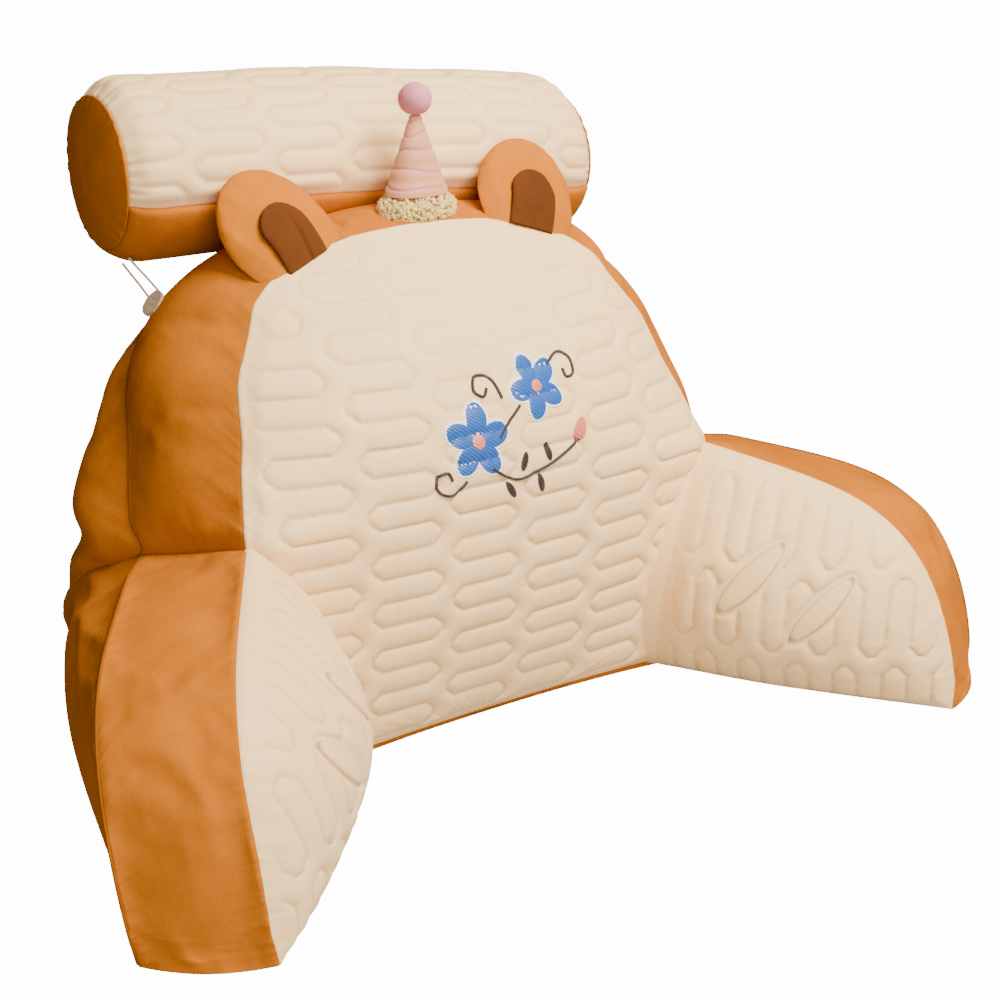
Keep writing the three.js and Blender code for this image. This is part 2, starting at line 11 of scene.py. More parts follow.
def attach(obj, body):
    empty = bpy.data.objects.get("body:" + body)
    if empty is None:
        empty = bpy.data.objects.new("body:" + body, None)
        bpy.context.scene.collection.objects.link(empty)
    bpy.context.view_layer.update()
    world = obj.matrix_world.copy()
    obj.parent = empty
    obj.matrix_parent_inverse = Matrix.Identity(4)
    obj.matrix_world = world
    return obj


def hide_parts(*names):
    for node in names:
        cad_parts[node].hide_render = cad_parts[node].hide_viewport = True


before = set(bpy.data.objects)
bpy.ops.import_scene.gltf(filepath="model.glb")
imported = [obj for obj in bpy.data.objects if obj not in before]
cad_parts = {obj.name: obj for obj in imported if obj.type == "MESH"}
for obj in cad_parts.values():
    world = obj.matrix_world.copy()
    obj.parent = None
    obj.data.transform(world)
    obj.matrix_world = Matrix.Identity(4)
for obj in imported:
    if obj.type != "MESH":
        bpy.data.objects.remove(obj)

bl_info = {
    "name": "Backrest pillow",
    "version": (1, 0, 0),
    "blender": (4, 5, 0),
    "location": "View3D > Sidebar > Pillow",
    "description": "Makes a quilted backrest pillow with arms and a neck roll",
    "category": "Object",
}

MM = 0.001
FORWARD = Vector((0, -1, 0))
SEAM_TO_ORIGIN = 75.0

# Front seam, arms and mitre, as in the part
FOOT_HALF_WIDTH = 190.6
ARM_TOP = 216.0
SHOULDER_HALF_WIDTH = 241.4
SHOULDER_DEPTH = 5.6
BACK_LEAN = 0.5475
ARM_SPLAY = math.radians(34.2)
ARM_LENGTH = 279.0
ARM_TIP_RUN = 277.0
ARM_BAND = 99.0
ARM_TOP_FALL = 0.19
ARM_SEAM_DROP = 28.0
ARM_INNER_CROWN = 72.0
ARM_ROOT_CROWN = 44.0
ARM_ROOT_SINK = 14.0
ARM_OUTER_CROWN = 92.0
ARM_TIP_CROWN = 10.0
ARM_TOP_CROWN = 9.0
MITRE_ANGLE = math.radians(61.9)
MITRE_BAND = 113.0
MITRE_CROWN = 119.0

# Quilting
QUILT_ROW = 21.5
QUILT_COLUMN = 76.0
QUILT_HALF_RUN = 24.0
QUILT_TIP = 36.0
PANEL_FOOT = 6.0

# Neck roll
ROLL_HALF = 240.0
ROLL_RADIUS = 79.6
ROLL_DEPTH = 253.0
ROLL_HEIGHT = 473.0
ROLL_DROOP = 8.0
ROLL_TILT = 14.3
ROLL_ROUND = 30.0
ROLL_DROP = 11.0
ROLL_END = 255.0
UNDERSIDE_FROM = math.radians(-18)
UNDERSIDE_TO = math.radians(-162)

# Seam and crest of the back, a row for each level above the arms
HIGH_NAMES = (
    "height", "half_width", "crest", "rear_height", "rear_half", "rear_depth", "rear_crest", "band", "belly",
)
HIGH_ROWS = (
    (240, 235.5, -14, 213, 289, 119, 246, 8, 72),
    (264, 229, -10, 240, 282, 134, 252, 13, 64),
    (290, 220, -2, 268, 272, 152, 257, 16, 54),
    (312, 215, 9, 292, 265, 168, 261, 17, 45),
    (333, 209, 22, 314, 256, 183, 263, 18, 36),
    (352, 197, 37, 332, 244, 195, 262, 19, 27),
    (368, 187, 52, 347, 231, 205, 259, 20, 19),
    (384, 178, 69, 360, 215, 214, 254, 21, 11),
    (396, 164, 83, 371, 196, 220, 249, 22, 4),
    (407, 145, 97, 380, 171, 226, 245, 23, 0),
    (417, 118, 110, 388, 138, 231, 241, 24, 0),
    (427, 70, 121, 393, 80, 235, 238, 24, 0),
)
LOW_NAMES = ("height", "crest", "swell", "rear_crest", "belly")
LOW_ROWS = (
    (0, 12, 0.45, 160, 0),
    (6, 9, 0.52, 166, 0),
    (40, -3, 0.8, 192, 0),
    (76, -12, 0.98, 211, 0),
    (112, -17, 1.0, 226, 8),
    (148, -19, 0.88, 236, 22),
    (184, -18, 0.56, 241, 46),
    (216, -16, 0.0, 244, 72),
)
TOP_ARCH = 4.0
FRONT_FULLNESS = 2.3
REAR_FULLNESS = 5.0
OUTER_SWELL = (0.45, 0.62, 0.84, 0.98, 1.0, 0.88, 0.56, 0.0)

LEAVES = (
    {"name": "lower", "run": 92, "height": 118, "half_length": 44, "half_width": 12, "slant": 50},
    {"name": "upper", "run": 158, "height": 96, "half_length": 40, "half_width": 11, "slant": 50},
)

# Share of the cone's height, tilt and start angle of each gathered fold
CONE_CREASES = (
    (0.13, 0.03, 0.4), (0.33, -0.035, 2.0), (0.56, 0.03, 3.4), (0.76, -0.03, 5.2), (0.93, 0.0, 0),
)
# Place on the front panel in millimetres and turn in degrees of the spray's small leaves
SMALL_LEAVES = ((14, 246, 70), (40, 250, 100), (-2, 224, -60), (30, 224, -80))

# Studio
FLOOR_GLOW = 14.0
WORLD_LIGHT = 0.22
BACKDROP_LIGHT = 14.0
LAMP_NAMES = ("name", "place", "power", "size", "color")
LAMPS = (
    ("Key", (0.4, -0.7, 1.55), 70, 0.8, (1.0, 0.97, 0.93)),
    ("Fill", (-0.7, -2.35, 0.95), 56, 1.5, (1.0, 0.97, 0.94)),
)

FOOT = np.array([FOOT_HALF_WIDTH, 0.0, 0.0])
RISE = np.array([SHOULDER_HALF_WIDTH - FOOT_HALF_WIDTH, SHOULDER_DEPTH, ARM_TOP])
ARM_RUN = np.array([math.sin(ARM_SPLAY), -math.cos(ARM_SPLAY), 0.0])
ARM_OUT = np.array([math.cos(ARM_SPLAY), math.sin(ARM_SPLAY), 0.0])
MITRE_RUN = np.array([math.cos(MITRE_ANGLE), math.sin(MITRE_ANGLE), 0.0])
ARM_START = float(RISE @ ARM_RUN)
ARM_LEAN = float(RISE @ ARM_OUT) / ARM_TOP


def smooth_step(low, high, value):
    part = np.clip((value - low) / (high - low), 0.0, 1.0)
    return part * part * (3 - 2 * part)


def dome(part):
    part = np.clip(part, 0.0, 1.0)
    return np.sqrt(1 - (1 - part) ** 2)


def arc(part):
    return 4 * part * (1 - part)


def waves(points, seed, size, octaves=3):
    """Soft unevenness of stuffed cloth: a few seeded waves summed, about -1 to 1."""
    rng = np.random.default_rng(seed)
    total = np.zeros(len(points))
    weight = 1.0
    for octave in range(octaves):
        for _ in range(4):
            way = rng.normal(size=3)
            way /= np.linalg.norm(way)
            total += weight * np.sin(points @ way * (2 * math.pi / size) * 2**octave + rng.uniform(0, 6.28))
        weight *= 0.5
    return total / 4.0


# Shape of the stuffed back, in millimetres from the front seam line
def ring_tables():
    rows = []
    for row in LOW_ROWS:
        named = dict(zip(LOW_NAMES, row))
        part = named["height"] / ARM_TOP
        front = FOOT + RISE * part
        rear_height = part * (ARM_TOP - ARM_SEAM_DROP)
        reach = MITRE_BAND + MITRE_CROWN * named["swell"]
        rear = FOOT + RISE * (rear_height / ARM_TOP) + MITRE_RUN * reach
        rows.append((*front, *rear, named["crest"], named["rear_crest"], 0.0, 0.0, named["belly"]))
    for row in HIGH_ROWS:
        named = dict(zip(HIGH_NAMES, row))
        depth = SHOULDER_DEPTH + (named["height"] - ARM_TOP) * BACK_LEAN
        front = (named["half_width"], depth, named["height"])
        rear = (named["rear_half"], named["rear_depth"], named["rear_height"])
        crests = (named["crest"], named["rear_crest"], named["band"], 0.0, named["belly"])
        rows.append((*front, *rear, *crests))
    table = np.array(rows, float)
    table[-1, 9] = TOP_ARCH
    return table


RINGS = ring_tables()
LAST_RING = len(RINGS) - 1


def ring_values(level):
    """Smooth values between the rows of the tables, through every row."""
    base = np.clip(np.floor(level).astype(int), 0, LAST_RING - 1)
    t = (level - base)[:, None]
    rows = [RINGS[np.clip(base + step, 0, LAST_RING)] for step in (-1, 0, 1, 2)]
    return 0.5 * (
        2 * rows[1]
        + (rows[2] - rows[0]) * t
        + (2 * rows[0] - 5 * rows[1] + 4 * rows[2] - rows[3]) * t**2
        + (3 * rows[1] - rows[0] - 3 * rows[2] + rows[3]) * t**3
    )


def level_of(height):
    return np.interp(height, RINGS[:, 2], np.arange(LAST_RING + 1))


def band_direction(level):
    below = RINGS[np.clip(np.arange(LAST_RING + 1) - 1, 0, LAST_RING)]
    above = RINGS[np.clip(np.arange(LAST_RING + 1) + 1, 0, LAST_RING)]
    out = np.stack([above[:, 2] - below[:, 2], below[:, 0] - above[:, 0]], -1)
    out /= np.linalg.norm(out, axis=1)[:, None]
    out[-1] = (0.0, 1.0)
    ways = np.stack([np.interp(level, np.arange(LAST_RING + 1), out[:, k]) for k in (0, 1)], -1)
    return ways / np.linalg.norm(ways, axis=1)[:, None]


def front_of_back(across, level):
    ring = ring_values(level)
    y = ring[:, 1] + (ring[:, 6] - ring[:, 1]) * (1 - np.abs(across) ** FRONT_FULLNESS)
    return np.stack([across * ring[:, 0], y, ring[:, 2] + ring[:, 9] * (1 - across**2)], -1)


def rear_of_back(across, level):
    ring = ring_values(level)
    wide = np.abs(across)
    x = across * ring[:, 3] + np.sign(across) * ring[:, 10] * arc(wide**3)
    y = ring[:, 4] + (ring[:, 7] - ring[:, 4]) * (1 - wide**REAR_FULLNESS)
    return np.stack([x, y, ring[:, 5] + ring[:, 9] * (1 - across**2)], -1)


def column_place(u):
    """Columns of the back, closer together towards its sides."""
    even = 2 * u - 1
    return even * (1.28 - 0.28 * even**2)


def place_back(u, v, w):
    across = column_place(u)
    level = v * LAST_RING
    depth = 1 - w
    front, rear = front_of_back(across, level), rear_of_back(across, level)
    point = front + (rear - front) * depth[:, None]
    out = band_direction(level)
    crown = ring_values(level)[:, 8] * arc(depth)
    point[:, 0] += np.sign(across) * out[:, 0] * crown
    point[:, 2] += out[:, 1] * crown
    return point


# Arms
def arm_height(run):
    part = np.clip((run - ARM_START) / (ARM_LENGTH - ARM_START), 0, 1)
    fall = ARM_TOP - ARM_TOP_FALL * np.maximum(run - ARM_START, 0)
    return fall * np.maximum(1 - part**5, 0) ** 0.6


def inner_shape(up):
    """Fullness of the arm's inner face over its height."""
    return np.sin(math.pi * np.clip(up, 0, 1) ** 0.92) ** 0.62


def inner_start(up):
    """Where the inner face starts, sunk a little into the front of the back."""
    return ARM_START * up - (ARM_ROOT_CROWN * math.tan(ARM_SPLAY) + ARM_ROOT_SINK) * inner_shape(up)


def inner_of_arm(share, up):
    start = inner_start(up)
    run = start + (ARM_TIP_RUN - start) * share
    height = up * arm_height(run)
    point = FOOT + run[:, None] * ARM_RUN + (height * ARM_LEAN)[:, None] * ARM_OUT
    point[:, 2] = height
    fullness = smooth_step(0, 0.45, share)
    crown = (ARM_ROOT_CROWN + (ARM_INNER_CROWN - ARM_ROOT_CROWN) * fullness) * (1 - share**3.2)
    return point - (crown * inner_shape(up))[:, None] * ARM_OUT


def outer_of_arm(share, up):
    swollen = np.interp(up * (len(OUTER_SWELL) - 1), np.arange(len(OUTER_SWELL)), OUTER_SWELL)
    mitre_height = up * (ARM_TOP - ARM_SEAM_DROP)
    at_mitre = FOOT + (mitre_height / ARM_TOP)[:, None] * RISE
    at_mitre = at_mitre + (MITRE_BAND + MITRE_CROWN * swollen)[:, None] * MITRE_RUN
    start = (at_mitre - FOOT) @ ARM_RUN
    run = start + (ARM_TIP_RUN - start) * share
    top = arm_height(np.maximum(run, ARM_START)) - ARM_SEAM_DROP * (1 - share)
    height = up * np.maximum(top, 4)
    crown = ARM_OUTER_CROWN * (1 - share**1.9) * swollen
    point = FOOT + run[:, None] * ARM_RUN
    point = point + (ARM_BAND + crown + height * ARM_LEAN)[:, None] * ARM_OUT
    point[:, 2] = height
    blend = smooth_step(0.0, 0.12, share)[:, None]
    return at_mitre * (1 - blend) + point * blend


def place_arm(u, v, w):
    share = np.sin(u * math.pi / 2) ** 0.9
    depth = 1 - w
    inner = inner_of_arm(share, v)
    point = inner + (outer_of_arm(share, v) - inner) * depth[:, None]
    at_top = smooth_step(0.97, 1.0, v)
    at_tip = smooth_step(0.97, 1.0, u)
    start = inner_start(v)
    run = start + (ARM_TIP_RUN - start) * share
    slope = (arm_height(run - 1) - arm_height(run + 1)) / 2
    flat = 1 / np.hypot(1, slope)
    crown = arc(depth)
    point[:, 2] += ARM_TOP_CROWN * crown * at_top * flat * np.clip(share / 0.2, 0, 1)
    forward = np.maximum(at_tip, at_top * flat * slope)
    return point + (ARM_TIP_CROWN * crown * forward + 0.4)[:, None] * ARM_RUN


# Quilting
def segment_distance(s, t, start, end):
    ds, dt = end[0] - start[0], end[1] - start[1]
    part = np.clip(((s - start[0]) * ds + (t - start[1]) * dt) / (ds * ds + dt * dt), 0, 1)
    return np.hypot(s - start[0] - part * ds, t - start[1] - part * dt)


def stitch_distance(along, row):
    """Distance to the nearest stitched line of the serpentine quilting."""
    best = np.full(len(along), 1e3)
    column = np.round(along / QUILT_COLUMN)
    line = np.floor(row / QUILT_ROW)
    for dc in (-1, 0, 1):
        s = along - (column + dc) * QUILT_COLUMN
        for dl in (-1, 0, 1, 2):
            k = line + dl
            t = row - k * QUILT_ROW
            run = np.clip(s, -QUILT_HALF_RUN, QUILT_HALF_RUN)
            best = np.minimum(best, np.hypot(s - run, t))
            right = np.mod(k, 2) == 0
            way = np.where(right, 1.0, -1.0)
            mirrored = s * way
            half = QUILT_ROW / 2
            for start, end in (
                ((QUILT_HALF_RUN, 0), (QUILT_TIP - 3, half - 3)),
                ((QUILT_TIP - 3, half - 3), (QUILT_TIP - 3, half + 3)),
                ((QUILT_TIP - 3, half + 3), (QUILT_HALF_RUN, QUILT_ROW)),
            ):
                best = np.minimum(best, segment_distance(mirrored, t, start, end))
    return best


def puffs(along, row, seed):
    """Puffed height between the stitched lines, 0 to 1, and how near a line a point lies."""
    distance = stitch_distance(along, row)
    flat = np.stack([along, row, np.zeros_like(along)], -1)
    round_over = dome(distance / 9.5)
    uneven = 1 + 0.16 * waves(flat, seed, 70)
    pucker = 0.1 * waves(flat * (1.0, 0.35, 1.0), seed + 1, 9, 2) * np.exp(-distance / 5)
    return round_over * uneven + pucker, np.exp(-((distance / 1.1) ** 2))


# Mesh helpers
def hang(name, bm):
    """A new object of the scene with the mesh."""
    mesh = bpy.data.meshes.new(name)
    bm.to_mesh(mesh)
    bm.free()
    made = bpy.data.objects.new(name, mesh)
    bpy.context.scene.collection.objects.link(made)
    return made


def finish_mesh(name, bm, points, shades=None, seam=None, facing=None):
    bm.verts.ensure_lookup_table()
    placed = np.array(points, float) * MM
    placed[:, 1] -= SEAM_TO_ORIGIN * MM
    for vert, co in zip(bm.verts, placed):
        vert.co = co
    bmesh.ops.recalc_face_normals(bm, faces=bm.faces)
    if facing is not None:
        bm.normal_update()
        turned = sum(face.normal.dot(facing) * face.calc_area() for face in bm.faces)
        if turned < 0:
            bmesh.ops.reverse_faces(bm, faces=bm.faces)
    for face in bm.faces:
        face.smooth = True
    piece = hang(name, bm)
    mesh = piece.data
    if shades is not None:
        layer = mesh.attributes.new("shade", "FLOAT", "POINT")
        layer.data.foreach_set("value", np.asarray(shades, np.float32))
    if seam is not None:
        layer = mesh.attributes.new("seam", "FLOAT_VECTOR", "POINT")
        layer.data.foreach_set("vector", (np.asarray(seam) * MM).astype(np.float32).ravel())
    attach(piece, "root")
    return piece


def block_mesh(counts):
    """A unit block divided into squares, its corners merged, and its block coordinates."""
    bm = bmesh.new()
    across, up, deep = counts
    quarter = math.pi / 2
    sides = (
        (across, up, Matrix.Translation((0, 0, 0.5))),
        (across, up, Matrix.Translation((0, 0, -0.5))),
        (across, deep, Matrix.Translation((0, 0.5, 0)) @ Matrix.Rotation(quarter, 4, "X")),
        (across, deep, Matrix.Translation((0, -0.5, 0)) @ Matrix.Rotation(quarter, 4, "X")),
        (deep, up, Matrix.Translation((0.5, 0, 0)) @ Matrix.Rotation(quarter, 4, "Y")),
        (deep, up, Matrix.Translation((-0.5, 0, 0)) @ Matrix.Rotation(quarter, 4, "Y")),
    )
    for a, b, matrix in sides:
        bmesh.ops.create_grid(bm, x_segments=a, y_segments=b, size=0.5, matrix=matrix)
    bmesh.ops.remove_doubles(bm, verts=bm.verts, dist=1e-5)
    places = np.clip(np.array([v.co for v in bm.verts]) + 0.5, 0, 1)
    return bm, places[:, 0], places[:, 1], places[:, 2]


def skin_mesh(across, up):
    """A square skin with a rim turned in behind it, and its coordinates, nought for w at the rim."""
    bm = bmesh.new()
    bmesh.ops.create_grid(bm, x_segments=across, y_segments=up, size=0.5)
    count = len(bm.verts)
    bmesh.ops.extrude_edge_only(bm, edges=[edge for edge in bm.edges if edge.is_boundary])
    bm.verts.index_update()
    places = np.clip(np.array([v.co for v in bm.verts]) + 0.5, 0, 1)
    return bm, places[:, 0], places[:, 1], (np.arange(len(places)) < count).astype(float)


def ball_mesh(around, rings):
    """A ball and, for each point, its angle round the axis and its share of the way up."""
    bm = bmesh.new()
    bmesh.ops.create_uvsphere(bm, u_segments=around, v_segments=rings, radius=1)
    co = np.array([v.co for v in bm.verts])
    angle = np.arctan2(co[:, 1], co[:, 0])
    share = 1 - np.arccos(np.clip(co[:, 2], -1, 1)) / math.pi
    return bm, angle, share


def soften(piece, levels=1):
    modifier = piece.modifiers.new("Subdivision", "SUBSURF")
    modifier.levels = levels
    modifier.render_levels = levels


def corners(mesh):
    co = np.zeros(len(mesh.vertices) * 3)
    mesh.vertices.foreach_get("co", co)
    return co.reshape(-1, 3)


def set_corners(mesh, co):
    mesh.vertices.foreach_set("co", co.ravel())
    mesh.update()


def inflate(piece, sewn, pressure, cap, slack=0.0):
    """Fills a pad: cloth under pressure, held where it is sewn, moved no further than the cap."""
    start = corners(piece.data)
    group = piece.vertex_groups.new(name="sewn")
    group.add([int(i) for i in np.flatnonzero(sewn)], 1.0, "REPLACE")
    modifier = piece.modifiers.new("Filling", "CLOTH")
    settings = modifier.settings
    settings.quality = 4
    settings.mass = 0.2
    settings.tension_stiffness = 12
    settings.compression_stiffness = 12
    settings.shear_stiffness = 4
    settings.bending_stiffness = 0.3
    settings.use_pressure = True
    settings.uniform_pressure_force = pressure
    settings.shrink_min = -slack
    settings.effector_weights.gravity = 0
    settings.vertex_group_mass = "sewn"
    modifier.collision_settings.use_collision = False
    scene = bpy.context.scene
    for step in range(1, 21):
        scene.frame_set(step)
    shown = piece.evaluated_get(bpy.context.evaluated_depsgraph_get())
    end = corners(shown.data)
    piece.modifiers.remove(modifier)
    piece.vertex_groups.remove(group)
    scene.frame_set(1)
    move = end - start
    reach = np.linalg.norm(move, axis=1)
    print(piece.name, "moved at most", round(float(reach.max()) / MM, 1), "mm")
    limit = cap * MM
    scale = np.where(reach > 1e-9, limit * np.tanh(reach / limit) / np.maximum(reach, 1e-9), 0)
    final = start + move * scale[:, None]
    final[:, 2] = np.maximum(final[:, 2], np.minimum(start[:, 2], 0.0))
    set_corners(piece.data, final)


def sharpen(piece, sewn):
    """Keeps the sewn edges crisp when the skin is smoothed."""
    mesh = piece.data
    layer = mesh.attributes.new("crease_edge", "FLOAT", "EDGE")
    for edge in mesh.edges:
        if sewn[edge.vertices[0]] and sewn[edge.vertices[1]]:
            layer.data[edge.index].value = 1.0


def stitch_seam(piece, name, sewn, order):
    """A fine cord of turned-in cloth along a seam, through its points in order; its darker colour is painted
    shade of the seam line.
    """
    chosen = np.flatnonzero(sewn)
    chosen = chosen[np.argsort(order[chosen])]
    path = np.array([piece.data.vertices[int(i)].co for i in chosen]) / MM
    path[:, 1] += SEAM_TO_ORIGIN
    path = path[path[:, 2] > 2]
    return tube_piece(name, path, 1.1, "seam")


def mirror_piece(piece, name):
    """The left-hand twin of a right-hand piece."""
    bm = bmesh.new()
    bm.from_mesh(piece.data)
    bmesh.ops.scale(bm, vec=(-1, 1, 1), verts=bm.verts)
    bmesh.ops.recalc_face_normals(bm, faces=bm.faces)
    twin = hang(name, bm)
    for material in piece.data.materials:
        twin.data.materials.append(material)
    for modifier in piece.modifiers:
        soften(twin, modifier.levels)
    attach(twin, "root")
    return twin


# Materials
class Shader:
    """Small helper that adds and joins nodes."""

    def __init__(self, name):
        self.material = bpy.data.materials.new(name)
        self.material.use_nodes = True
        self.tree = self.material.node_tree
        self.base = self.tree.nodes["Principled BSDF"]

    def node(self, kind, **values):
        made = self.tree.nodes.new(kind)
        for key, value in values.items():
            if key in made.inputs:
                made.inputs[key].default_value = value
            else:
                setattr(made, key.lower(), value)
        return made

    def join(self, start, end):
        self.tree.links.new(start, end)

    def noise(self, vector, scale, detail=2.0, roughness=0.5):
        made = self.node("ShaderNodeTexNoise", Scale=scale, Detail=detail, Roughness=roughness)
        self.join(vector, made.inputs["Vector"])
        return made.outputs["Fac"]

    def ramp(self, value, stops):
        made = self.tree.nodes.new("ShaderNodeValToRGB")
        elements = made.color_ramp.elements
        while len(elements) < len(stops):
            elements.new(0.5)
        for element, (place, color) in zip(elements, stops):
            element.position = place
            element.color = (*color, 1)
        self.join(value, made.inputs["Fac"])
        return made.outputs["Color"]

    def mix(self, factor, first, second):
        made = self.tree.nodes.new("ShaderNodeMix")
        made.data_type = "RGBA"
        for source, socket in ((factor, made.inputs[0]), (first, made.inputs[6]), (second, made.inputs[7])):
            if isinstance(source, (tuple, list)):
                socket.default_value = (*source, 1)
            elif isinstance(source, float):
                socket.default_value = source
            else:
                self.join(source, socket)
        return made.outputs[2]

    def math(self, operation, first, second):
        made = self.tree.nodes.new("ShaderNodeMath")
        made.operation = operation
        for source, socket in ((first, made.inputs[0]), (second, made.inputs[1])):
            if isinstance(source, float):
                socket.default_value = source
            else:
                self.join(source, socket)
        return made.outputs[0]

    def bump(self, height, strength, distance, below=None):
        made = self.node("ShaderNodeBump", Strength=strength, Distance=distance)
        self.join(height, made.inputs["Height"])
        if below is not None:
            self.join(below, made.inputs["Normal"])
        return made.outputs["Normal"]

    def attribute(self, name):
        made = self.tree.nodes.new("ShaderNodeAttribute")
        made.attribute_name = name
        return made

    def place(self):
        return self.tree.nodes.new("ShaderNodeTexCoord").outputs["Object"]

    def set(self, **values):
        for key, value in values.items():
            self.base.inputs[key.replace("_", " ")].default_value = value


def scaled(color, factor):
    return tuple(min(part * factor, 1.0) for part in color)


def puckers(shader, below, depth):
    """Small gathers that run in from a seam and die away within a few centimetres."""
    seam = shader.attribute("seam").outputs["Vector"]
    apart = shader.tree.nodes.new("ShaderNodeSeparateXYZ")
    shader.join(seam, apart.inputs[0])
    stretch = shader.node("ShaderNodeVectorMath")
    stretch.operation = "MULTIPLY"
    stretch.inputs[1].default_value = (1.0, 0.12, 1.0)
    shader.join(seam, stretch.inputs[0])
    folds = shader.noise(stretch.outputs[0], 75, 1.5, 0.5)
    away = shader.math("MULTIPLY", apart.outputs[1], -55.0)
    fading = shader.math("EXPONENT", away, 0.0)
    return shader.bump(shader.math("MULTIPLY", folds, fading), 0.75, depth, below)


def velour(name, color, sheen=0.15):
    """Short pile that lies in soft patches; their lighter and darker tone is painted sheen and shade, placed
    at random.
    """
    s = Shader(name)
    place = s.place()
    nap = s.noise(place, 14, 4, 0.62)
    # painted sheen and shade: random patches where the pile would catch more or less light
    nap_sheen_patches = s.ramp(nap, ((0.3, scaled(color, 0.82)), (0.5, color), (0.7, scaled(color, 1.13))))
    fine = s.noise(place, 700, 2, 0.7)
    speckled = s.mix(s.math("MULTIPLY", fine, 0.4), nap_sheen_patches, scaled(color, 0.6))
    # painted shade: darker down along stitched lines, taken from the shade attribute
    line = s.attribute("shade").outputs["Fac"]
    s.join(s.mix(s.math("MULTIPLY", line, 0.75), speckled, scaled(color, 0.3)), s.base.inputs["Base Color"])
    lumps = s.bump(s.noise(place, 34, 3, 0.5), 0.3, 0.004)
    gathered = puckers(s, lumps, 0.006)
    s.join(s.bump(fine, 0.35, 0.0007, gathered), s.base.inputs["Normal"])
    s.set(Roughness=1.0, Sheen_Weight=sheen, Sheen_Roughness=0.4, Specular_IOR_Level=0.05)
    s.base.inputs["Sheen Tint"].default_value = (*scaled(color, 2.0), 1)
    return s.material


def smooth_cotton(name, color, groove_shade=0.7, gloss=0.6):
    """Fine weave with a soft lustre, with painted shade down in the stitched lines."""
    s = Shader(name)
    place = s.place()
    cloudy = s.noise(place, 9, 3, 0.5)
    body = s.ramp(cloudy, ((0.3, scaled(color, 0.96)), (0.7, scaled(color, 1.03))))
    # painted shade in the stitched lines, mixed in by the shade attribute
    line = s.attribute("shade").outputs["Fac"]
    s.join(s.mix(s.math("MULTIPLY", line, 0.8), body, scaled(color, groove_shade)), s.base.inputs["Base Color"])
    crumple = s.noise(place, 60, 4, 0.6)
    soft = puckers(s, s.bump(crumple, 0.2, 0.0025), 0.006)
    weave = s.noise(place, 1500, 1, 0.5)
    s.join(s.bump(weave, 0.25, 0.0003, soft), s.base.inputs["Normal"])
    s.set(Roughness=gloss, Sheen_Weight=0.08, Sheen_Roughness=0.5, Specular_IOR_Level=0.3)
    return s.material


def satin_stitch(name, color, pitch=900.0):
    """Close parallel threads with a silky shine."""
    s = Shader(name)
    place = s.place()
    wave = s.node("ShaderNodeTexWave", Scale=pitch / 6.28, Distortion=1.5)
    wave.bands_direction = "DIAGONAL"
    s.join(place, wave.inputs["Vector"])
    threads = wave.outputs["Fac"]
    s.join(s.mix(threads, scaled(color, 0.72), scaled(color, 1.12)), s.base.inputs["Base Color"])
    s.join(s.bump(threads, 0.6, 0.0006), s.base.inputs["Normal"])
    s.set(Roughness=0.42, Sheen_Weight=0.2, Specular_IOR_Level=0.5)
    return s.material


def wrinkled_satin(name, color, fold_shade):
    s = Shader(name)
    place = s.place()
    line = s.attribute("shade").outputs["Fac"]
    cloudy = s.noise(place, 40, 3, 0.5)
    body = s.ramp(cloudy, ((0.3, scaled(color, 0.93)), (0.7, scaled(color, 1.05))))
    # painted shade: the creases are mixed towards the darker fold colour by the shade attribute
    s.join(s.mix(line, body, fold_shade), s.base.inputs["Base Color"])
    s.join(s.bump(s.noise(place, 260, 3, 0.6), 0.3, 0.001), s.base.inputs["Normal"])
    s.set(Roughness=0.55, Sheen_Weight=0.25, Specular_IOR_Level=0.35)
    return s.material


def curled_fleece(name, color):
    s = Shader(name)
    place = s.place()
    tone = s.noise(place, 120, 3, 0.6)
    body = s.ramp(tone, ((0.3, scaled(color, 0.72)), (0.7, scaled(color, 1.12))))
    s.join(body, s.base.inputs["Base Color"])
    s.join(s.bump(s.noise(place, 900, 2, 0.6), 0.5, 0.0008), s.base.inputs["Normal"])
    s.set(Roughness=0.95, Sheen_Weight=0.3, Specular_IOR_Level=0.1)
    return s.material


def polished_resin(name, color):
    s = Shader(name)
    place = s.place()
    cloud = s.noise(place, 180, 4, 0.6)
    body = s.ramp(cloud, ((0.3, scaled(color, 0.85)), (0.7, scaled(color, 1.1))))
    s.join(body, s.base.inputs["Base Color"])
    s.set(Roughness=0.32, Specular_IOR_Level=0.5)
    return s.material


def paint(piece, material):
    piece.data.materials.clear()
    piece.data.materials.append(material)
    return piece


MATERIALS = {}


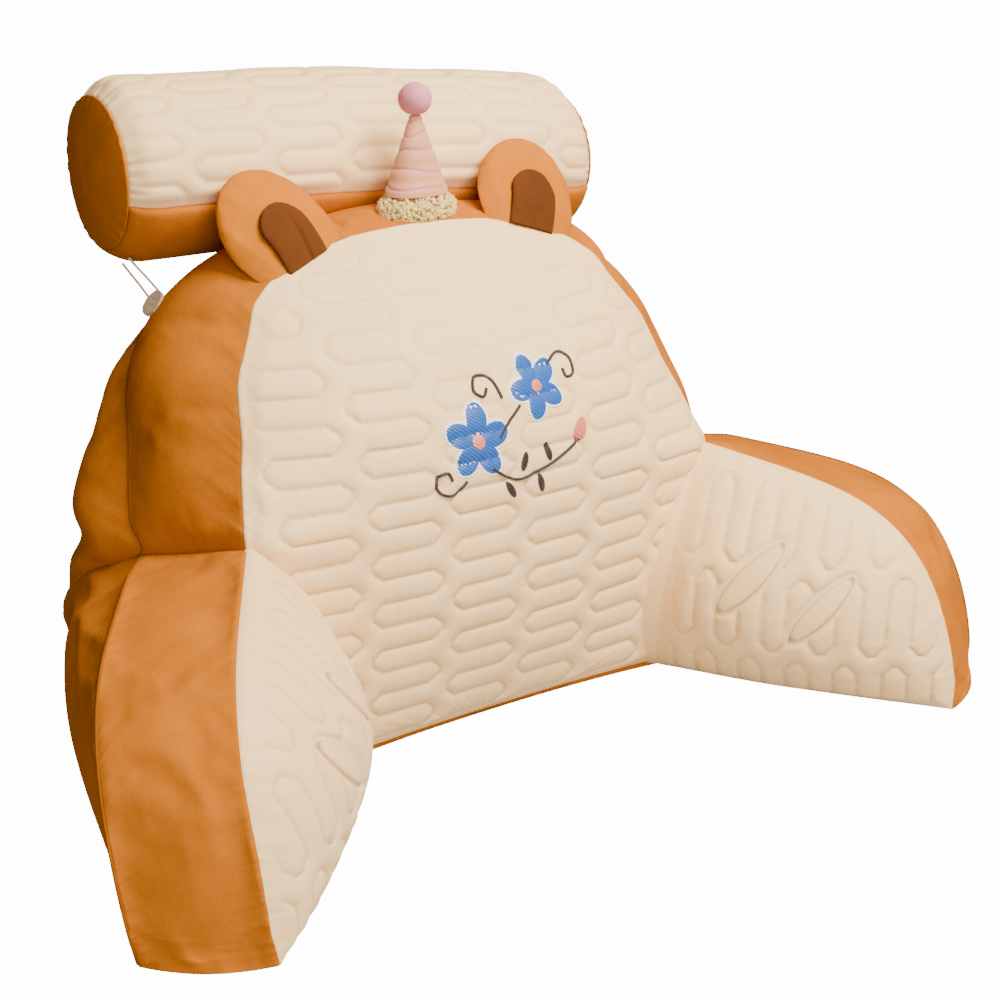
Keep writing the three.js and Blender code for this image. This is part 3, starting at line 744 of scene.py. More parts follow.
def material(name):
    if name in MATERIALS:
        return MATERIALS[name]
    tones = bpy.context.scene.pillow_colours
    made = {
        "orange": lambda: velour("Orange velour", tuple(tones.orange)),
        "cream": lambda: smooth_cotton("Quilted cream cotton", tuple(tones.cream)),
        # leaf cotton: its 0.3 paints deep shade in the groove round each leaf's outline
        "leaf": lambda: smooth_cotton("Smooth leaf cotton", scaled(tuple(tones.cream), 0.99), 0.3, 0.5),
        # the seam cord is darker orange: painted shade along the seam
        "seam": lambda: velour("Seam cord in painted shade", scaled(tuple(tones.orange), 0.55), 0.1),
        "brown": lambda: velour("Brown velour", tuple(tones.brown), 0.2),
        "rose": lambda: velour("Rose velour", tuple(tones.rose), 0.35),
        "fleece": lambda: curled_fleece("Curled fleece", tuple(tones.fleece)),
        # the darker rose given here is painted shade for the cone's creases
        "pink": lambda: wrinkled_satin("Pink satin", tuple(tones.pink), scaled(tuple(tones.rose), 0.75)),
        "resin": lambda: polished_resin("Button resin", tuple(tones.button)),
        "cord": lambda: satin_stitch("Elastic cord", tuple(tones.cord), 2600.0),
        "blue": lambda: satin_stitch("Blue thread", (0.002, 0.075, 0.32)),
        "white": lambda: satin_stitch("White thread", (0.92, 0.84, 0.72)),
        "salmon": lambda: satin_stitch("Salmon thread", (0.7, 0.16, 0.1)),
        "umber": lambda: satin_stitch("Brown thread", (0.022, 0.006, 0.002), 2400.0),
        "cream_thread": lambda: satin_stitch("Cream thread", (0.85, 0.6, 0.3), 2600.0),
    }[name]()
    MATERIALS[name] = made
    return made


def amount(name, says, value):
    """A size field that can't go below nought."""
    return FloatProperty(name=name, description=says, default=value, min=0)


def colour(name, says, value):
    """A colour field."""
    return FloatVectorProperty(name=name, description=says, subtype="COLOR", default=value)


class PillowSizes(bpy.types.PropertyGroup):
    puff: amount("Quilting height", "Rise of the quilting in millimetres", 4.0)
    padding: amount("Panel padding", "Thickness of a panel in millimetres", 3.0)
    fill: amount("Filling", "Air pressure that stands in for the filling", 4.0)


class PillowColours(bpy.types.PropertyGroup):
    orange: colour("Velour", "Band and rear", (0.47, 0.132, 0.006))
    cream: colour("Cotton", "Quilted panels", (0.88, 0.57, 0.25))
    brown: colour("Ear patch", "Inside of the ears", (0.1, 0.03, 0.007))
    pink: colour("Cone", "Cone of the hat", (0.62, 0.25, 0.12))
    rose: colour("Ball", "Ball on the hat", (0.6, 0.22, 0.24))
    fleece: colour("Brim", "Fleece brim", (0.72, 0.5, 0.15))
    button: colour("Button", "Buttons", (0.5, 0.34, 0.2))
    cord: colour("Loop", "Elastic loops", (0.5, 0.36, 0.2))


def camera_share(shader):
    """One where the camera looks straight at a surface, nought for light bounced from it."""
    return shader.tree.nodes.new("ShaderNodeLightPath").outputs["Is Camera Ray"]


def pale_floor():
    """A white sweep whose own brightness keeps the backdrop pale, as in a studio cut-out."""
    pale = Shader("Pale floor")
    pale.set(Base_Color=(0.32, 0.31, 0.3, 1), Roughness=0.95, Specular_IOR_Level=0.1)
    glow = pale.math("MULTIPLY", camera_share(pale), FLOOR_GLOW)
    pale.base.inputs["Emission Color"].default_value = (1, 1, 1, 1)
    pale.join(glow, pale.base.inputs["Emission Strength"])
    return pale.material


def studio_world():
    world = bpy.data.worlds.new("Studio")
    world.use_nodes = True
    tree = world.node_tree
    soft = tree.nodes["Background"]
    soft.inputs["Color"].default_value = (1.0, 0.97, 0.93, 1)
    soft.inputs["Strength"].default_value = WORLD_LIGHT
    white = tree.nodes.new("ShaderNodeBackground")
    white.inputs["Strength"].default_value = BACKDROP_LIGHT
    mix = tree.nodes.new("ShaderNodeMixShader")
    path = tree.nodes.new("ShaderNodeLightPath")
    tree.links.new(path.outputs["Is Camera Ray"], mix.inputs[0])
    tree.links.new(soft.outputs[0], mix.inputs[1])
    tree.links.new(white.outputs[0], mix.inputs[2])
    tree.links.new(mix.outputs[0], tree.nodes["World Output"].inputs["Surface"])
    return world


class PILLOW_OT_stage(bpy.types.Operator):
    """Makes the floor, the soft lights and the camera at the photograph's angle"""

    bl_idname = "pillow.stage"
    bl_label = "Stage"

    def execute(self, context):
        scene = context.scene
        bm = bmesh.new()
        bmesh.ops.create_grid(bm, x_segments=1, y_segments=1, size=14)
        floor = hang("Floor", bm)
        floor.data.materials.append(pale_floor())
        scene.world = studio_world()
        for row in LAMPS:
            lamp = dict(zip(LAMP_NAMES, row))
            light = bpy.data.lights.new(lamp["name"], "AREA")
            light.energy, light.size, light.color = lamp["power"], lamp["size"], lamp["color"]
            holder = bpy.data.objects.new(lamp["name"], light)
            holder.location = lamp["place"]
            aim = Vector((0, 0, 0.25)) - Vector(lamp["place"])
            holder.rotation_euler = aim.to_track_quat("-Z", "Y").to_euler()
            scene.collection.objects.link(holder)
        camera = bpy.data.cameras.new("Camera")
        camera.lens, camera.sensor_width = 63.288, 36
        camera.clip_start, camera.clip_end = 0.05, 60
        eye = bpy.data.objects.new("Camera", camera)
        eye.location = (-0.8194, -1.17737 - SEAM_TO_ORIGIN * MM, 0.72981)
        eye.rotation_euler = (math.radians(70), 0, math.radians(-34.9))
        scene.collection.objects.link(eye)
        scene.camera = eye
        return {"FINISHED"}


class PILLOW_OT_back(bpy.types.Operator):
    """Makes the stuffed velour back"""

    bl_idname = "pillow.back"
    bl_label = "Back"

    def execute(self, context):
        bm, u, v, w = block_mesh((60, 66, 18))
        points = place_back(u, v, w)
        points[:, 2] = np.maximum(points[:, 2], 0)
        level = v * LAST_RING
        seams = 120 * np.minimum(w, 1 - w) + 400 * (w < 1e-4) * np.minimum(np.minimum(u, 1 - u), 1 - v)
        around = np.arctan2(points[:, 0], points[:, 2] + 20) * 300
        seam = np.stack([around, seams, 0 * u], -1)
        piece = finish_mesh("back_velour", bm, points, seam=seam)
        mitre = (np.minimum(u, 1 - u) < 1e-4) & (v * LAST_RING < 7.2)
        sewn = (w > 0.999) | mitre | (v < 0.001)
        side = (np.minimum(u, 1 - u) < 1e-4) & (level > 6.9)
        rear_seam = (w < 1e-4) & (side | (v > 0.999))
        inflate(piece, sewn | rear_seam, context.scene.pillow_sizes.fill, 7.0, 0.015)
        sharpen(piece, rear_seam | ((w > 0.999) & (side | (v > 0.999))))
        stitch_seam(piece, "back_seam", rear_seam, np.where(side, v + (u > 0.5) * (3 - 2 * v), 1 + u))
        settle_under_roll(piece)
        soften(piece)
        paint(piece, material("orange"))
        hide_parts("back_cushion")
        return {"FINISHED"}


def roll_axis(x):
    share = x / ROLL_HALF
    return ROLL_HEIGHT - ROLL_DROOP * share**2 - ROLL_TILT * share


def roll_radius(x):
    into = np.maximum(np.abs(x) - (ROLL_HALF - ROLL_ROUND), 0) / ROLL_ROUND
    return ROLL_RADIUS - ROLL_DROP * into**2


def settle_under_roll(piece):
    """Presses the top of the back in where the neck roll lies on it."""
    co = corners(piece.data) / MM
    x = np.clip(co[:, 0], -ROLL_HALF, ROLL_HALF)
    dy = co[:, 1] + SEAM_TO_ORIGIN - ROLL_DEPTH
    dz = co[:, 2] - roll_axis(x)
    distance = np.hypot(dy, dz)
    clear = roll_radius(x) + 1.0
    inside = (distance < clear) & (np.abs(co[:, 0]) < ROLL_END)
    push = np.where(inside, clear / np.maximum(distance, 1e-6), 1.0)
    co[:, 1] = ROLL_DEPTH - SEAM_TO_ORIGIN + dy * push
    co[:, 2] = roll_axis(x) + dz * push
    set_corners(piece.data, co * MM)


class PILLOW_OT_arms(bpy.types.Operator):
    """Makes the two stuffed velour arms"""

    bl_idname = "pillow.arms"
    bl_label = "Arms"

    def execute(self, context):
        bm, u, v, w = block_mesh((44, 34, 18))
        points = place_arm(u, v, w)
        points[:, 2] = np.maximum(points[:, 2], 0)
        seams = 120 * np.minimum(w, 1 - w) + 250 * (w < 1e-4) * np.minimum(1 - u, 1 - v)
        seam = np.stack([np.arctan2(points[:, 1] + 90, points[:, 2] + 20) * 180, seams, 0 * u], -1)
        piece = finish_mesh("arm_right_velour", bm, points, seam=seam)
        outer_seam = (w < 1e-4) & ((v > 0.999) | (u > 0.999))
        inner_seam = (w > 0.999) & ((v > 0.999) | (u > 0.999))
        sewn = (w > 0.999) | (u < 1e-4) | (v < 0.001) | outer_seam
        inflate(piece, sewn, context.scene.pillow_sizes.fill, 7.0, 0.015)
        sharpen(piece, outer_seam | inner_seam)
        tube = stitch_seam(piece, "arm_right_seam", outer_seam, np.where(v > 0.999, u, 2 - v))
        soften(piece)
        paint(piece, material("orange"))
        twin = mirror_piece(piece, "arm_left_velour")
        mirror_piece(tube, "arm_left_seam")
        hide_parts("arm_right")
        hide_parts("arm_left")
        return {"FINISHED"}


def outline_distance(points, outline):
    """Distance of each point from a closed outline, both in a flat plane."""
    best = np.full(len(points), 1e6)
    for start, end in zip(outline, np.roll(outline, -1, 0)):
        best = np.minimum(best, segment_distance(points[:, 0], points[:, 1], start, end))
    return best


def back_panel_lift(x, height):
    """Padding and quilting of the front panel at a place on it."""
    levels = np.linspace(level_of(PANEL_FOOT), LAST_RING, 60)
    rings = ring_values(levels)
    right = np.stack([rings[:, 0], rings[:, 2]], -1)
    crown = np.array([[0.0, rings[-1, 2] + TOP_ARCH]])
    outline = np.concatenate([right, crown, right[::-1] * (-1, 1)])
    edge = outline_distance(np.stack([x, height], -1), outline)
    sizes = bpy.context.scene.pillow_sizes
    height_share, line = puffs(x + 29, height - PANEL_FOOT - 12, 11)
    calm = 1 - 0.45 * np.exp(-(((x - 10) / 90) ** 2 + ((height - 330) / 80) ** 2) ** 2)
    calm *= 1 - 0.4 * smooth_step(330, 400, height)
    fade = smooth_step(3, 14, edge)
    lift = sizes.padding * dome(edge / 16) + sizes.puff * calm * fade * height_share
    return lift, line * fade * calm, edge


def panel_surface(x, height, lift):
    level = level_of(height)
    half = ring_values(level)[:, 0]
    point = front_of_back(x / half, level)
    point[:, 1] -= 0.3 + lift
    return point


class PILLOW_OT_back_panel(bpy.types.Operator):
    """Makes the quilted cream panel of the back"""

    bl_idname = "pillow.back_panel"
    bl_label = "Back panel"

    def execute(self, context):
        bm, u, v, w = skin_mesh(290, 262)
        top = RINGS[-1, 2]
        height = PANEL_FOOT + v * (top - PANEL_FOOT)
        level = level_of(height)
        across = 2 * u - 1
        ring = ring_values(level)
        x = across * ring[:, 0]
        arch = ring[:, 9] * (1 - across**2)
        lift, line, edge = back_panel_lift(x, height + arch)
        point = front_of_back(across, level)
        point[:, 1] -= np.where(w > 0.5, 0.3 + lift, -3.0)
        point[:, 0] *= np.where(w > 0.5, 1.0, 0.992)
        point[:, 2] -= np.where(w > 0.5, 0.0, 1.5 * v)
        around = np.arctan2(x, height + 20) * 260
        seam = np.stack([around, edge, 0 * x], -1)
        # the stitched-line mask becomes the shade attribute: painted shade in the quilting's valleys
        piece = finish_mesh("back_quilting", bm, point, line * w, seam, FORWARD)
        paint(piece, material("cream"))
        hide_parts("back_panel")
        return {"FINISHED"}


def leaf_frame(leaf):
    slant = math.radians(leaf["slant"])
    return math.cos(slant), math.sin(slant)


def leaf_share(leaf, run, height):
    """Where a point lies in a leaf: its share of the half length, and how far it is across."""
    c, s = leaf_frame(leaf)
    dr, dz = run - leaf["run"], height - leaf["height"]
    along = (-dr * c - dz * s) / leaf["half_length"]
    return along, dr * s - dz * c


def arm_panel_lift(run, height):
    sizes = bpy.context.scene.pillow_sizes
    runs = np.linspace(ARM_START, ARM_TIP_RUN, 50)
    outline = np.concatenate([np.stack([runs, arm_height(runs)], -1), [[ARM_TIP_RUN, 0], [0, 0]]])
    edge = outline_distance(np.stack([run, height], -1), outline)
    height_share, line = puffs(height - 88, run, 23)
    up = np.clip(height / np.maximum(arm_height(run), 1.0), 0, 1)
    fade = smooth_step(3, 14, edge) * smooth_step(2, 26, run - ARM_START * up)
    ground = np.ones_like(run)
    for leaf in LEAVES:
        along, across = leaf_share(leaf, run, height)
        near = np.hypot(along, across / (leaf["half_width"] + 3))
        ground = np.minimum(ground, smooth_step(0.95, 1.15, near))
    rise = ground * height_share + (1 - ground) * 0.3
    lift = sizes.padding * dome(edge / 16) + sizes.puff * fade * rise
    return lift, line * fade * ground, edge


def arm_surface(run, height, lift):
    up = np.clip(height / np.maximum(arm_height(run), 1.0), 0, 1)
    start = inner_start(up)
    share = np.clip((run - start) / (ARM_TIP_RUN - start), 0, 1)
    return inner_of_arm(share, up) - (0.3 + lift)[:, None] * ARM_OUT + 0.4 * ARM_RUN


class PILLOW_OT_arm_panels(bpy.types.Operator):
    """Makes the quilted cream panels of the arms and their leaf patches"""

    bl_idname = "pillow.arm_panels"
    bl_label = "Arm panels"

    def execute(self, context):
        bm, u, v, w = skin_mesh(176, 130)
        share = np.sin(u * math.pi / 2) ** 0.95
        up = 0.02 + 0.978 * v
        start = inner_start(up)
        run = start + (ARM_TIP_RUN - start) * share
        height = up * arm_height(run)
        lift, line, edge = arm_panel_lift(run, height)
        point = inner_of_arm(share, up) - np.where(w > 0.5, 0.3 + lift, -3.0)[:, None] * ARM_OUT
        point -= np.where(w > 0.5, 0.3, 2.0)[:, None] * ARM_RUN
        point[:, 2] -= np.where(w > 0.5, 0.0, 1.5)
        around = np.arctan2(run - 90, height + 20) * 150
        root = smooth_step(2, 26, run - ARM_START * up)
        seam = np.stack([around, edge + 60 * (1 - root), 0 * run], -1)
        facing = Vector(-ARM_OUT)
        # the stitched-line mask becomes the shade attribute: painted shade in the quilting's valleys
        piece = finish_mesh("arm_right_quilting", bm, point, line * w, seam, facing)
        paint(piece, material("cream"))
        twin = mirror_piece(piece, "arm_left_quilting")
        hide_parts("arm_panel_right")
        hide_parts("arm_panel_left")
        for leaf in LEAVES:
            self.make_leaf(leaf)
        return {"FINISHED"}

    def make_leaf(self, leaf):
        bm, u, v, w = block_mesh((44, 14, 1))
        c, s = leaf_frame(leaf)
        along = (2 * u - 1) * 0.985
        across = 2 * v - 1
        side = across * leaf["half_width"] * np.maximum(1 - along**2, 0) ** 0.8
        reach = along * leaf["half_length"]
        run = leaf["run"] - reach * c + side * s
        height = leaf["height"] - reach * s - side * c
        lift, _, _ = arm_panel_lift(run, height)
        rim = np.minimum(1 - np.abs(along), 1 - np.abs(across))
        swell = 0.25 + 2.0 * dome(rim * 2.6) - 0.5 * np.exp(-(((rim - 0.1) / 0.05) ** 2))
        point = arm_surface(run, height, lift + np.where(w > 0.5, swell, -0.3))
        # painted shade in the groove of the stitched outline round the rim
        rim_line = (w > 0.5) * np.exp(-(((rim - 0.1) / 0.055) ** 2))
        name = f"leaf_{leaf['name']}_right"
        piece = finish_mesh(f"{name}_cloth", bm, point, shades=rim_line)
        paint(piece, material("leaf"))
        left = f"leaf_{leaf['name']}_left"
        twin = mirror_piece(piece, f"{left}_cloth")
        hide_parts(name)
        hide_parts(left)


def roll_point(x, angle, lift):
    radius = roll_radius(x) + lift
    return np.stack(
        [x, ROLL_DEPTH - radius * np.cos(angle), roll_axis(x) + radius * np.sin(angle)],
        -1,
    )


class PILLOW_OT_roll(bpy.types.Operator):
    """Makes the neck roll: quilted cover, velour underside and gathered ends"""

    bl_idname = "pillow.roll"
    bl_label = "Neck roll"

    def execute(self, context):
        self.make_cover(context)
        self.make_underside()
        for side, word in ((-1, "left"), (1, "right")):
            self.make_end(side, word)
        return {"FINISHED"}

    def make_cover(self, context):
        sizes = context.scene.pillow_sizes
        bm, u, v, w = block_mesh((210, 136, 1))
        x = (2 * u - 1) * (ROLL_HALF - 0.5)
        sweep = 2 * math.pi - (UNDERSIDE_FROM - UNDERSIDE_TO)
        angle = UNDERSIDE_FROM + v * sweep
        arc_length = v * sweep * ROLL_RADIUS
        height_share, line = puffs(x, arc_length, 37)
        edge = np.minimum(ROLL_HALF - np.abs(x), np.minimum(v, 1 - v) * sweep * ROLL_RADIUS)
        fade = smooth_step(2, 16, edge)
        outside = sizes.puff * 0.9 * (fade * height_share - 1) - 1.6 * (1 - dome(edge / 12))
        gathers = 0.7 * np.sin(angle * 46 + 2 * np.sin(angle * 7)) * np.exp(-(ROLL_HALF - np.abs(x)) / 9)
        soft = 1.2 * waves(np.stack([x, arc_length, 0 * x], -1), 41, 180, 2)
        lift = np.where(w > 0.5, outside + gathers + soft * fade, -9.0)
        point = roll_point(x, angle, lift)
        seam = np.stack([arc_length, ROLL_HALF - np.abs(x), 0 * x], -1)
        # the stitched-line mask becomes the shade attribute: painted shade in the quilting's valleys
        piece = finish_mesh("roll_quilting", bm, point, line * fade * (w > 0.5), seam)
        paint(piece, material("cream"))
        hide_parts("neck_roll")

    def make_underside(self):
        bm, u, v, w = block_mesh((110, 46, 1))
        x = (2 * u - 1) * (ROLL_HALF - 0.5)
        angle = UNDERSIDE_TO + v * (UNDERSIDE_FROM - UNDERSIDE_TO)
        edge = np.minimum(ROLL_HALF - np.abs(x), np.minimum(v, 1 - v) * 200)
        soft = 0.8 * waves(np.stack([x, angle * ROLL_RADIUS, 0 * x], -1), 43, 120, 2)
        gathers = 0.7 * np.sin(angle * 46) * np.exp(-(ROLL_HALF - np.abs(x)) / 9)
        outside = -2.0 + 1.6 * dome(edge / 12) + soft * smooth_step(0, 20, edge) * 0.5 + gathers * 0.5
        point = roll_point(x, angle, np.where(w > 0.5, np.minimum(outside, 0.3), -9.0))
        piece = finish_mesh("roll_under_velour", bm, point)
        paint(piece, material("orange"))
        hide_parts("roll_underside")

    def make_end(self, side, word):
        bm, angle, share = ball_mesh(96, 34)
        outer = share > 0.5
        spread = np.sin(share * math.pi)
        rim = ROLL_RADIUS - ROLL_DROP - 3.5
        radius = rim * np.where(outer, spread**0.8, spread**0.35)
        swell = 12.0 * (1 - (radius / (rim + 1.5)) ** 2.2)
        along = np.where(outer, 0.8 + swell, 0.0)
        gathers = np.sin(angle * 38 + 2.5 * np.sin(angle * 5)) * np.exp(-(rim - radius) / 9)
        along += np.where(outer, 0.8 * gathers + 0.5 * np.sin(angle * 3 + 1), 0)
        radius += np.where(outer, 0.5 * gathers, 0)
        x = side * (ROLL_HALF + along)
        seat = roll_axis(np.full_like(x, side * ROLL_HALF))
        point = np.stack([x, ROLL_DEPTH - radius * np.cos(angle), seat + radius * np.sin(angle)], -1)
        piece = finish_mesh(f"roll_end_{word}_velour", bm, point)
        inflate(piece, share < 0.58, 3.0, 3.0)
        soften(piece)
        paint(piece, material("orange"))
        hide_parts(f"roll_end_{word}")


EAR_HALF_WIDTH = 50.0
EAR_HALF_DEPTH = 17.0
EAR_HALF_HEIGHT = 62.0
EAR_LIFT = 31.0
EAR_SET_BACK = 14.0
EAR_BASES = {
    "left": ((-160, 103, 397), (-77, 121, 428)),
    "right": ((73, 121, 429), (155, 105, 401)),
}


def ear_frame(word):
    """Seat of an ear on the seam: middle of its base, and its across, back and up directions."""
    first, second = (np.array(p, float) for p in EAR_BASES[word])
    across = (second - first) / np.linalg.norm(second - first)
    back = np.array([0.0, math.cos(0.5), -math.sin(0.5)])
    up = np.cross(across, back)
    up /= np.linalg.norm(up)
    back = np.cross(up, across)
    return (first + second) / 2, across, back, up


def ear_to_world(word, local):
    base, across, back, up = ear_frame(word)
    return base + local[:, :1] * across + local[:, 1:2] * back + local[:, 2:] * up


def ear_half_depth(x, z):
    """Half thickness of an ear over its own plane, thin at the seam round its edge."""
    radius = np.hypot(x / EAR_HALF_WIDTH, (z - EAR_LIFT) / EAR_HALF_HEIGHT)
    puffed = EAR_HALF_DEPTH * np.maximum(1 - radius**2.4, 0) ** 0.62
    base = 0.35 + 0.65 * smooth_step(-12, 34, z)
    return puffed * base


def ear_middle(z):
    """How far behind the seam the middle of an ear stands."""
    return 4 + (EAR_SET_BACK - 4) * smooth_step(-5, 50, z)


class PILLOW_OT_ears(bpy.types.Operator):
    """Makes the stuffed ears and their brown patches"""

    bl_idname = "pillow.ears"
    bl_label = "Ears"

    def execute(self, context):
        for word in ("left", "right"):
            self.make_ear(word)
            self.make_patch(word)
        return {"FINISHED"}

    def make_ear(self, word):
        bm, angle, share = ball_mesh(72, 40)
        spread = np.sin(share * math.pi)
        radius = spread**0.7
        x = EAR_HALF_WIDTH * radius * np.cos(angle)
        z = EAR_LIFT + EAR_HALF_HEIGHT * radius * np.sin(angle)
        z = np.maximum(z, -8)
        side = np.where(share > 0.5, 1.0, -1.0)
        depth = ear_half_depth(x, z) * side
        flat = np.stack([x, side * 20, z], -1)
        rim = np.exp(-((1 - radius) / 0.16) ** 2)
        gathers = 0.9 * np.sin(angle * 30 + 3 * np.sin(angle * 4)) * rim
        depth += side * (1.1 * waves(flat, 51, 60, 2) * (1 - rim) + gathers)
        local = np.stack([x, ear_middle(z) + depth, z], -1)
        piece = finish_mesh(f"ear_{word}_velour", bm, ear_to_world(word, local))
        sewn = (np.abs(share - 0.5) < 0.02) | (z < 4)
        inflate(piece, sewn, context_fill() * 0.7, 2.5, 0.01)
        soften(piece)
        paint(piece, material("orange"))
        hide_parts(f"ear_{word}")

    def make_patch(self, word):
        bm, u, v, w = block_mesh((34, 40, 1))
        half, tall = 22.5, 58.0
        z = v * tall
        top = smooth_step(tall - half, tall, z)
        width = half * np.sqrt(np.maximum(1 - ((z - (tall - half)) / half) ** 2 * (z > tall - half), 0.0))
        width = np.maximum(width, 1.0) * (0.94 + 0.06 * (1 - top))
        x = (2 * u - 1) * width
        rim = np.minimum(1 - np.abs(2 * u - 1), (1 - v) * 2)
        lift = np.where(w > 0.5, 0.5 + 1.5 * dome(rim * 4), -0.6)
        crease = np.exp(-(((x - 3 - z * 0.12) / 2.4) ** 2)) * smooth_step(52, 20, z)
        lift -= np.where(w > 0.5, crease * (2.2 if word == "left" else 0.9), 0)
        z = z - 2
        local = np.stack([x, ear_middle(z) - ear_half_depth(x, z) - 1.0 - lift, z], -1)
        piece = finish_mesh(f"ear_patch_{word}_velour", bm, ear_to_world(word, local))
        paint(piece, material("brown"))
        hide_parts(f"ear_patch_{word}")


def context_fill():
    return bpy.context.scene.pillow_sizes.fill


HAT_X = 10.0
HAT_DEPTH = 141.0
HAT_FOOT = 428.0
BRIM_HEIGHT = 27.0
BRIM_HALF_WIDTH = 39.0
BRIM_HALF_DEPTH = 25.0
CONE_HALF_WIDTH = 31.0
CONE_HALF_DEPTH = 22.0
CONE_HEIGHT = 66.0
CONE_TIP = 5.5
BALL_RADIUS = 15.0


class PILLOW_OT_hat(bpy.types.Operator):
    """Makes the fleece brim, the wrinkled cone and the ball of the hat"""

    bl_idname = "pillow.hat"
    bl_label = "Hat"

    def execute(self, context):
        self.make_brim()
        self.make_cone()
        self.make_ball()
        return {"FINISHED"}

    def brim_point(self, angle, share, lift):
        swing = (share - 0.5) * math.pi
        ring = np.abs(np.cos(swing)) ** 0.45
        rise = np.sign(np.sin(swing)) * np.abs(np.sin(swing)) ** 0.8
        x = HAT_X + (BRIM_HALF_WIDTH + lift) * ring * np.cos(angle)
        y = HAT_DEPTH + (BRIM_HALF_DEPTH + lift) * ring * np.sin(angle)
        z = HAT_FOOT + BRIM_HEIGHT / 2 + (BRIM_HEIGHT / 2 + lift) * rise
        sag = 2.5 * ((x - HAT_X) / BRIM_HALF_WIDTH) ** 2
        return np.stack([x, y, z - sag], -1)

    def make_brim(self):
        bm, angle, share = ball_mesh(48, 20)
        point = self.brim_point(angle, share, -3.0)
        core = finish_mesh("brim_fleece", bm, point)
        rng = np.random.default_rng(7)
        joined = bmesh.new()
        joined.from_mesh(core.data)
        count = 1150
        for index in range(count):
            share = np.array([np.clip(0.5 + rng.normal() * 0.17, 0.12, 0.88)])
            turn = np.array([index * 2.399963])
            seat = self.brim_point(turn, share, -1.2)[0] * MM
            seat[1] -= SEAM_TO_ORIGIN * MM
            size = rng.uniform(1.5, 2.5) * MM
            tilt = Matrix.Rotation(rng.uniform(0, 6.28), 4, Vector(rng.normal(size=3)).normalized())
            shape = Matrix.Diagonal((size, size * rng.uniform(0.55, 0.9), size * rng.uniform(0.7, 1.3), 1))
            bmesh.ops.create_icosphere(
                joined, subdivisions=1, radius=1, matrix=Matrix.Translation(seat) @ tilt @ shape
            )
        for face in joined.faces:
            face.smooth = True
        joined.to_mesh(core.data)
        joined.free()
        paint(core, material("fleece"))
        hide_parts("hat_brim")

    def make_cone(self):
        bm, angle, share = ball_mesh(72, 90)
        up = np.clip((share - 0.06) / 0.9, 0, 1)
        closing = np.minimum(share / 0.06, 1) * np.minimum((1 - share) / 0.04, 1)
        straight = 1 + (CONE_TIP / CONE_HALF_WIDTH - 1) * up
        crease = np.zeros_like(up)
        for height, tilt, start in CONE_CREASES:
            path = height + tilt * np.sin(angle + start) + 0.012 * np.sin(3 * angle + start)
            crease = np.maximum(crease, np.exp(-(((up - path) / 0.018) ** 2)))
        bulge = 0.9 * np.sin(up * 5 * 2 * math.pi - 1.2) * (1 - up)
        ring = closing * straight
        lift = 0.55 * bulge - 1.1 * crease * (1 - 0.4 * up)
        x = HAT_X + (CONE_HALF_WIDTH * ring + closing * lift) * np.cos(angle)
        y = HAT_DEPTH + (CONE_HALF_DEPTH * ring + closing * lift) * np.sin(angle)
        foot = HAT_FOOT + BRIM_HEIGHT - 3
        z = foot + up * (CONE_HEIGHT + 3)
        point = np.stack([x, y, z], -1)
        # the crease mask also paints shade into the folds through the shade attribute
        piece = finish_mesh("cone_satin", bm, point, shades=crease * 0.75)
        paint(piece, material("pink"))
        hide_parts("hat_cone")

    def make_ball(self):
        bm, angle, share = ball_mesh(40, 28)
        swing = (share - 0.5) * math.pi
        radius = BALL_RADIUS * (1 - 0.1 * np.exp(-(((share - 0.0) / 0.12) ** 2)))
        radius = radius + 0.35 * np.sin(angle * 9) * np.exp(-((share / 0.25) ** 2))
        centre = HAT_FOOT + BRIM_HEIGHT + CONE_HEIGHT + BALL_RADIUS - 1.2
        point = np.stack(
            [
                HAT_X + radius * np.cos(swing) * np.cos(angle),
                HAT_DEPTH + radius * np.cos(swing) * np.sin(angle),
                centre + radius * 0.96 * np.sin(swing),
            ],
            -1,
        )
        piece = finish_mesh("ball_velour", bm, point)
        soften(piece)
        paint(piece, material("rose"))
        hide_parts("hat_pompom")


class PILLOW_OT_fastenings(bpy.types.Operator):
    """Finishes the buttons and loops"""

    bl_idname = "pillow.fastenings"
    bl_label = "Buttons and loops"

    def execute(self, context):
        for word in ("left", "right"):
            paint(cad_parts[f"button_{word}"], material("resin"))
            paint(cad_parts[f"loop_{word}"], material("cord"))
        return {"FINISHED"}


BLOSSOMS = (
    {"x": -30.0, "height": 270.0, "size": 31.0, "turn": 12.0},
    {"x": 40.0, "height": 304.0, "size": 27.0, "turn": 40.0},
)


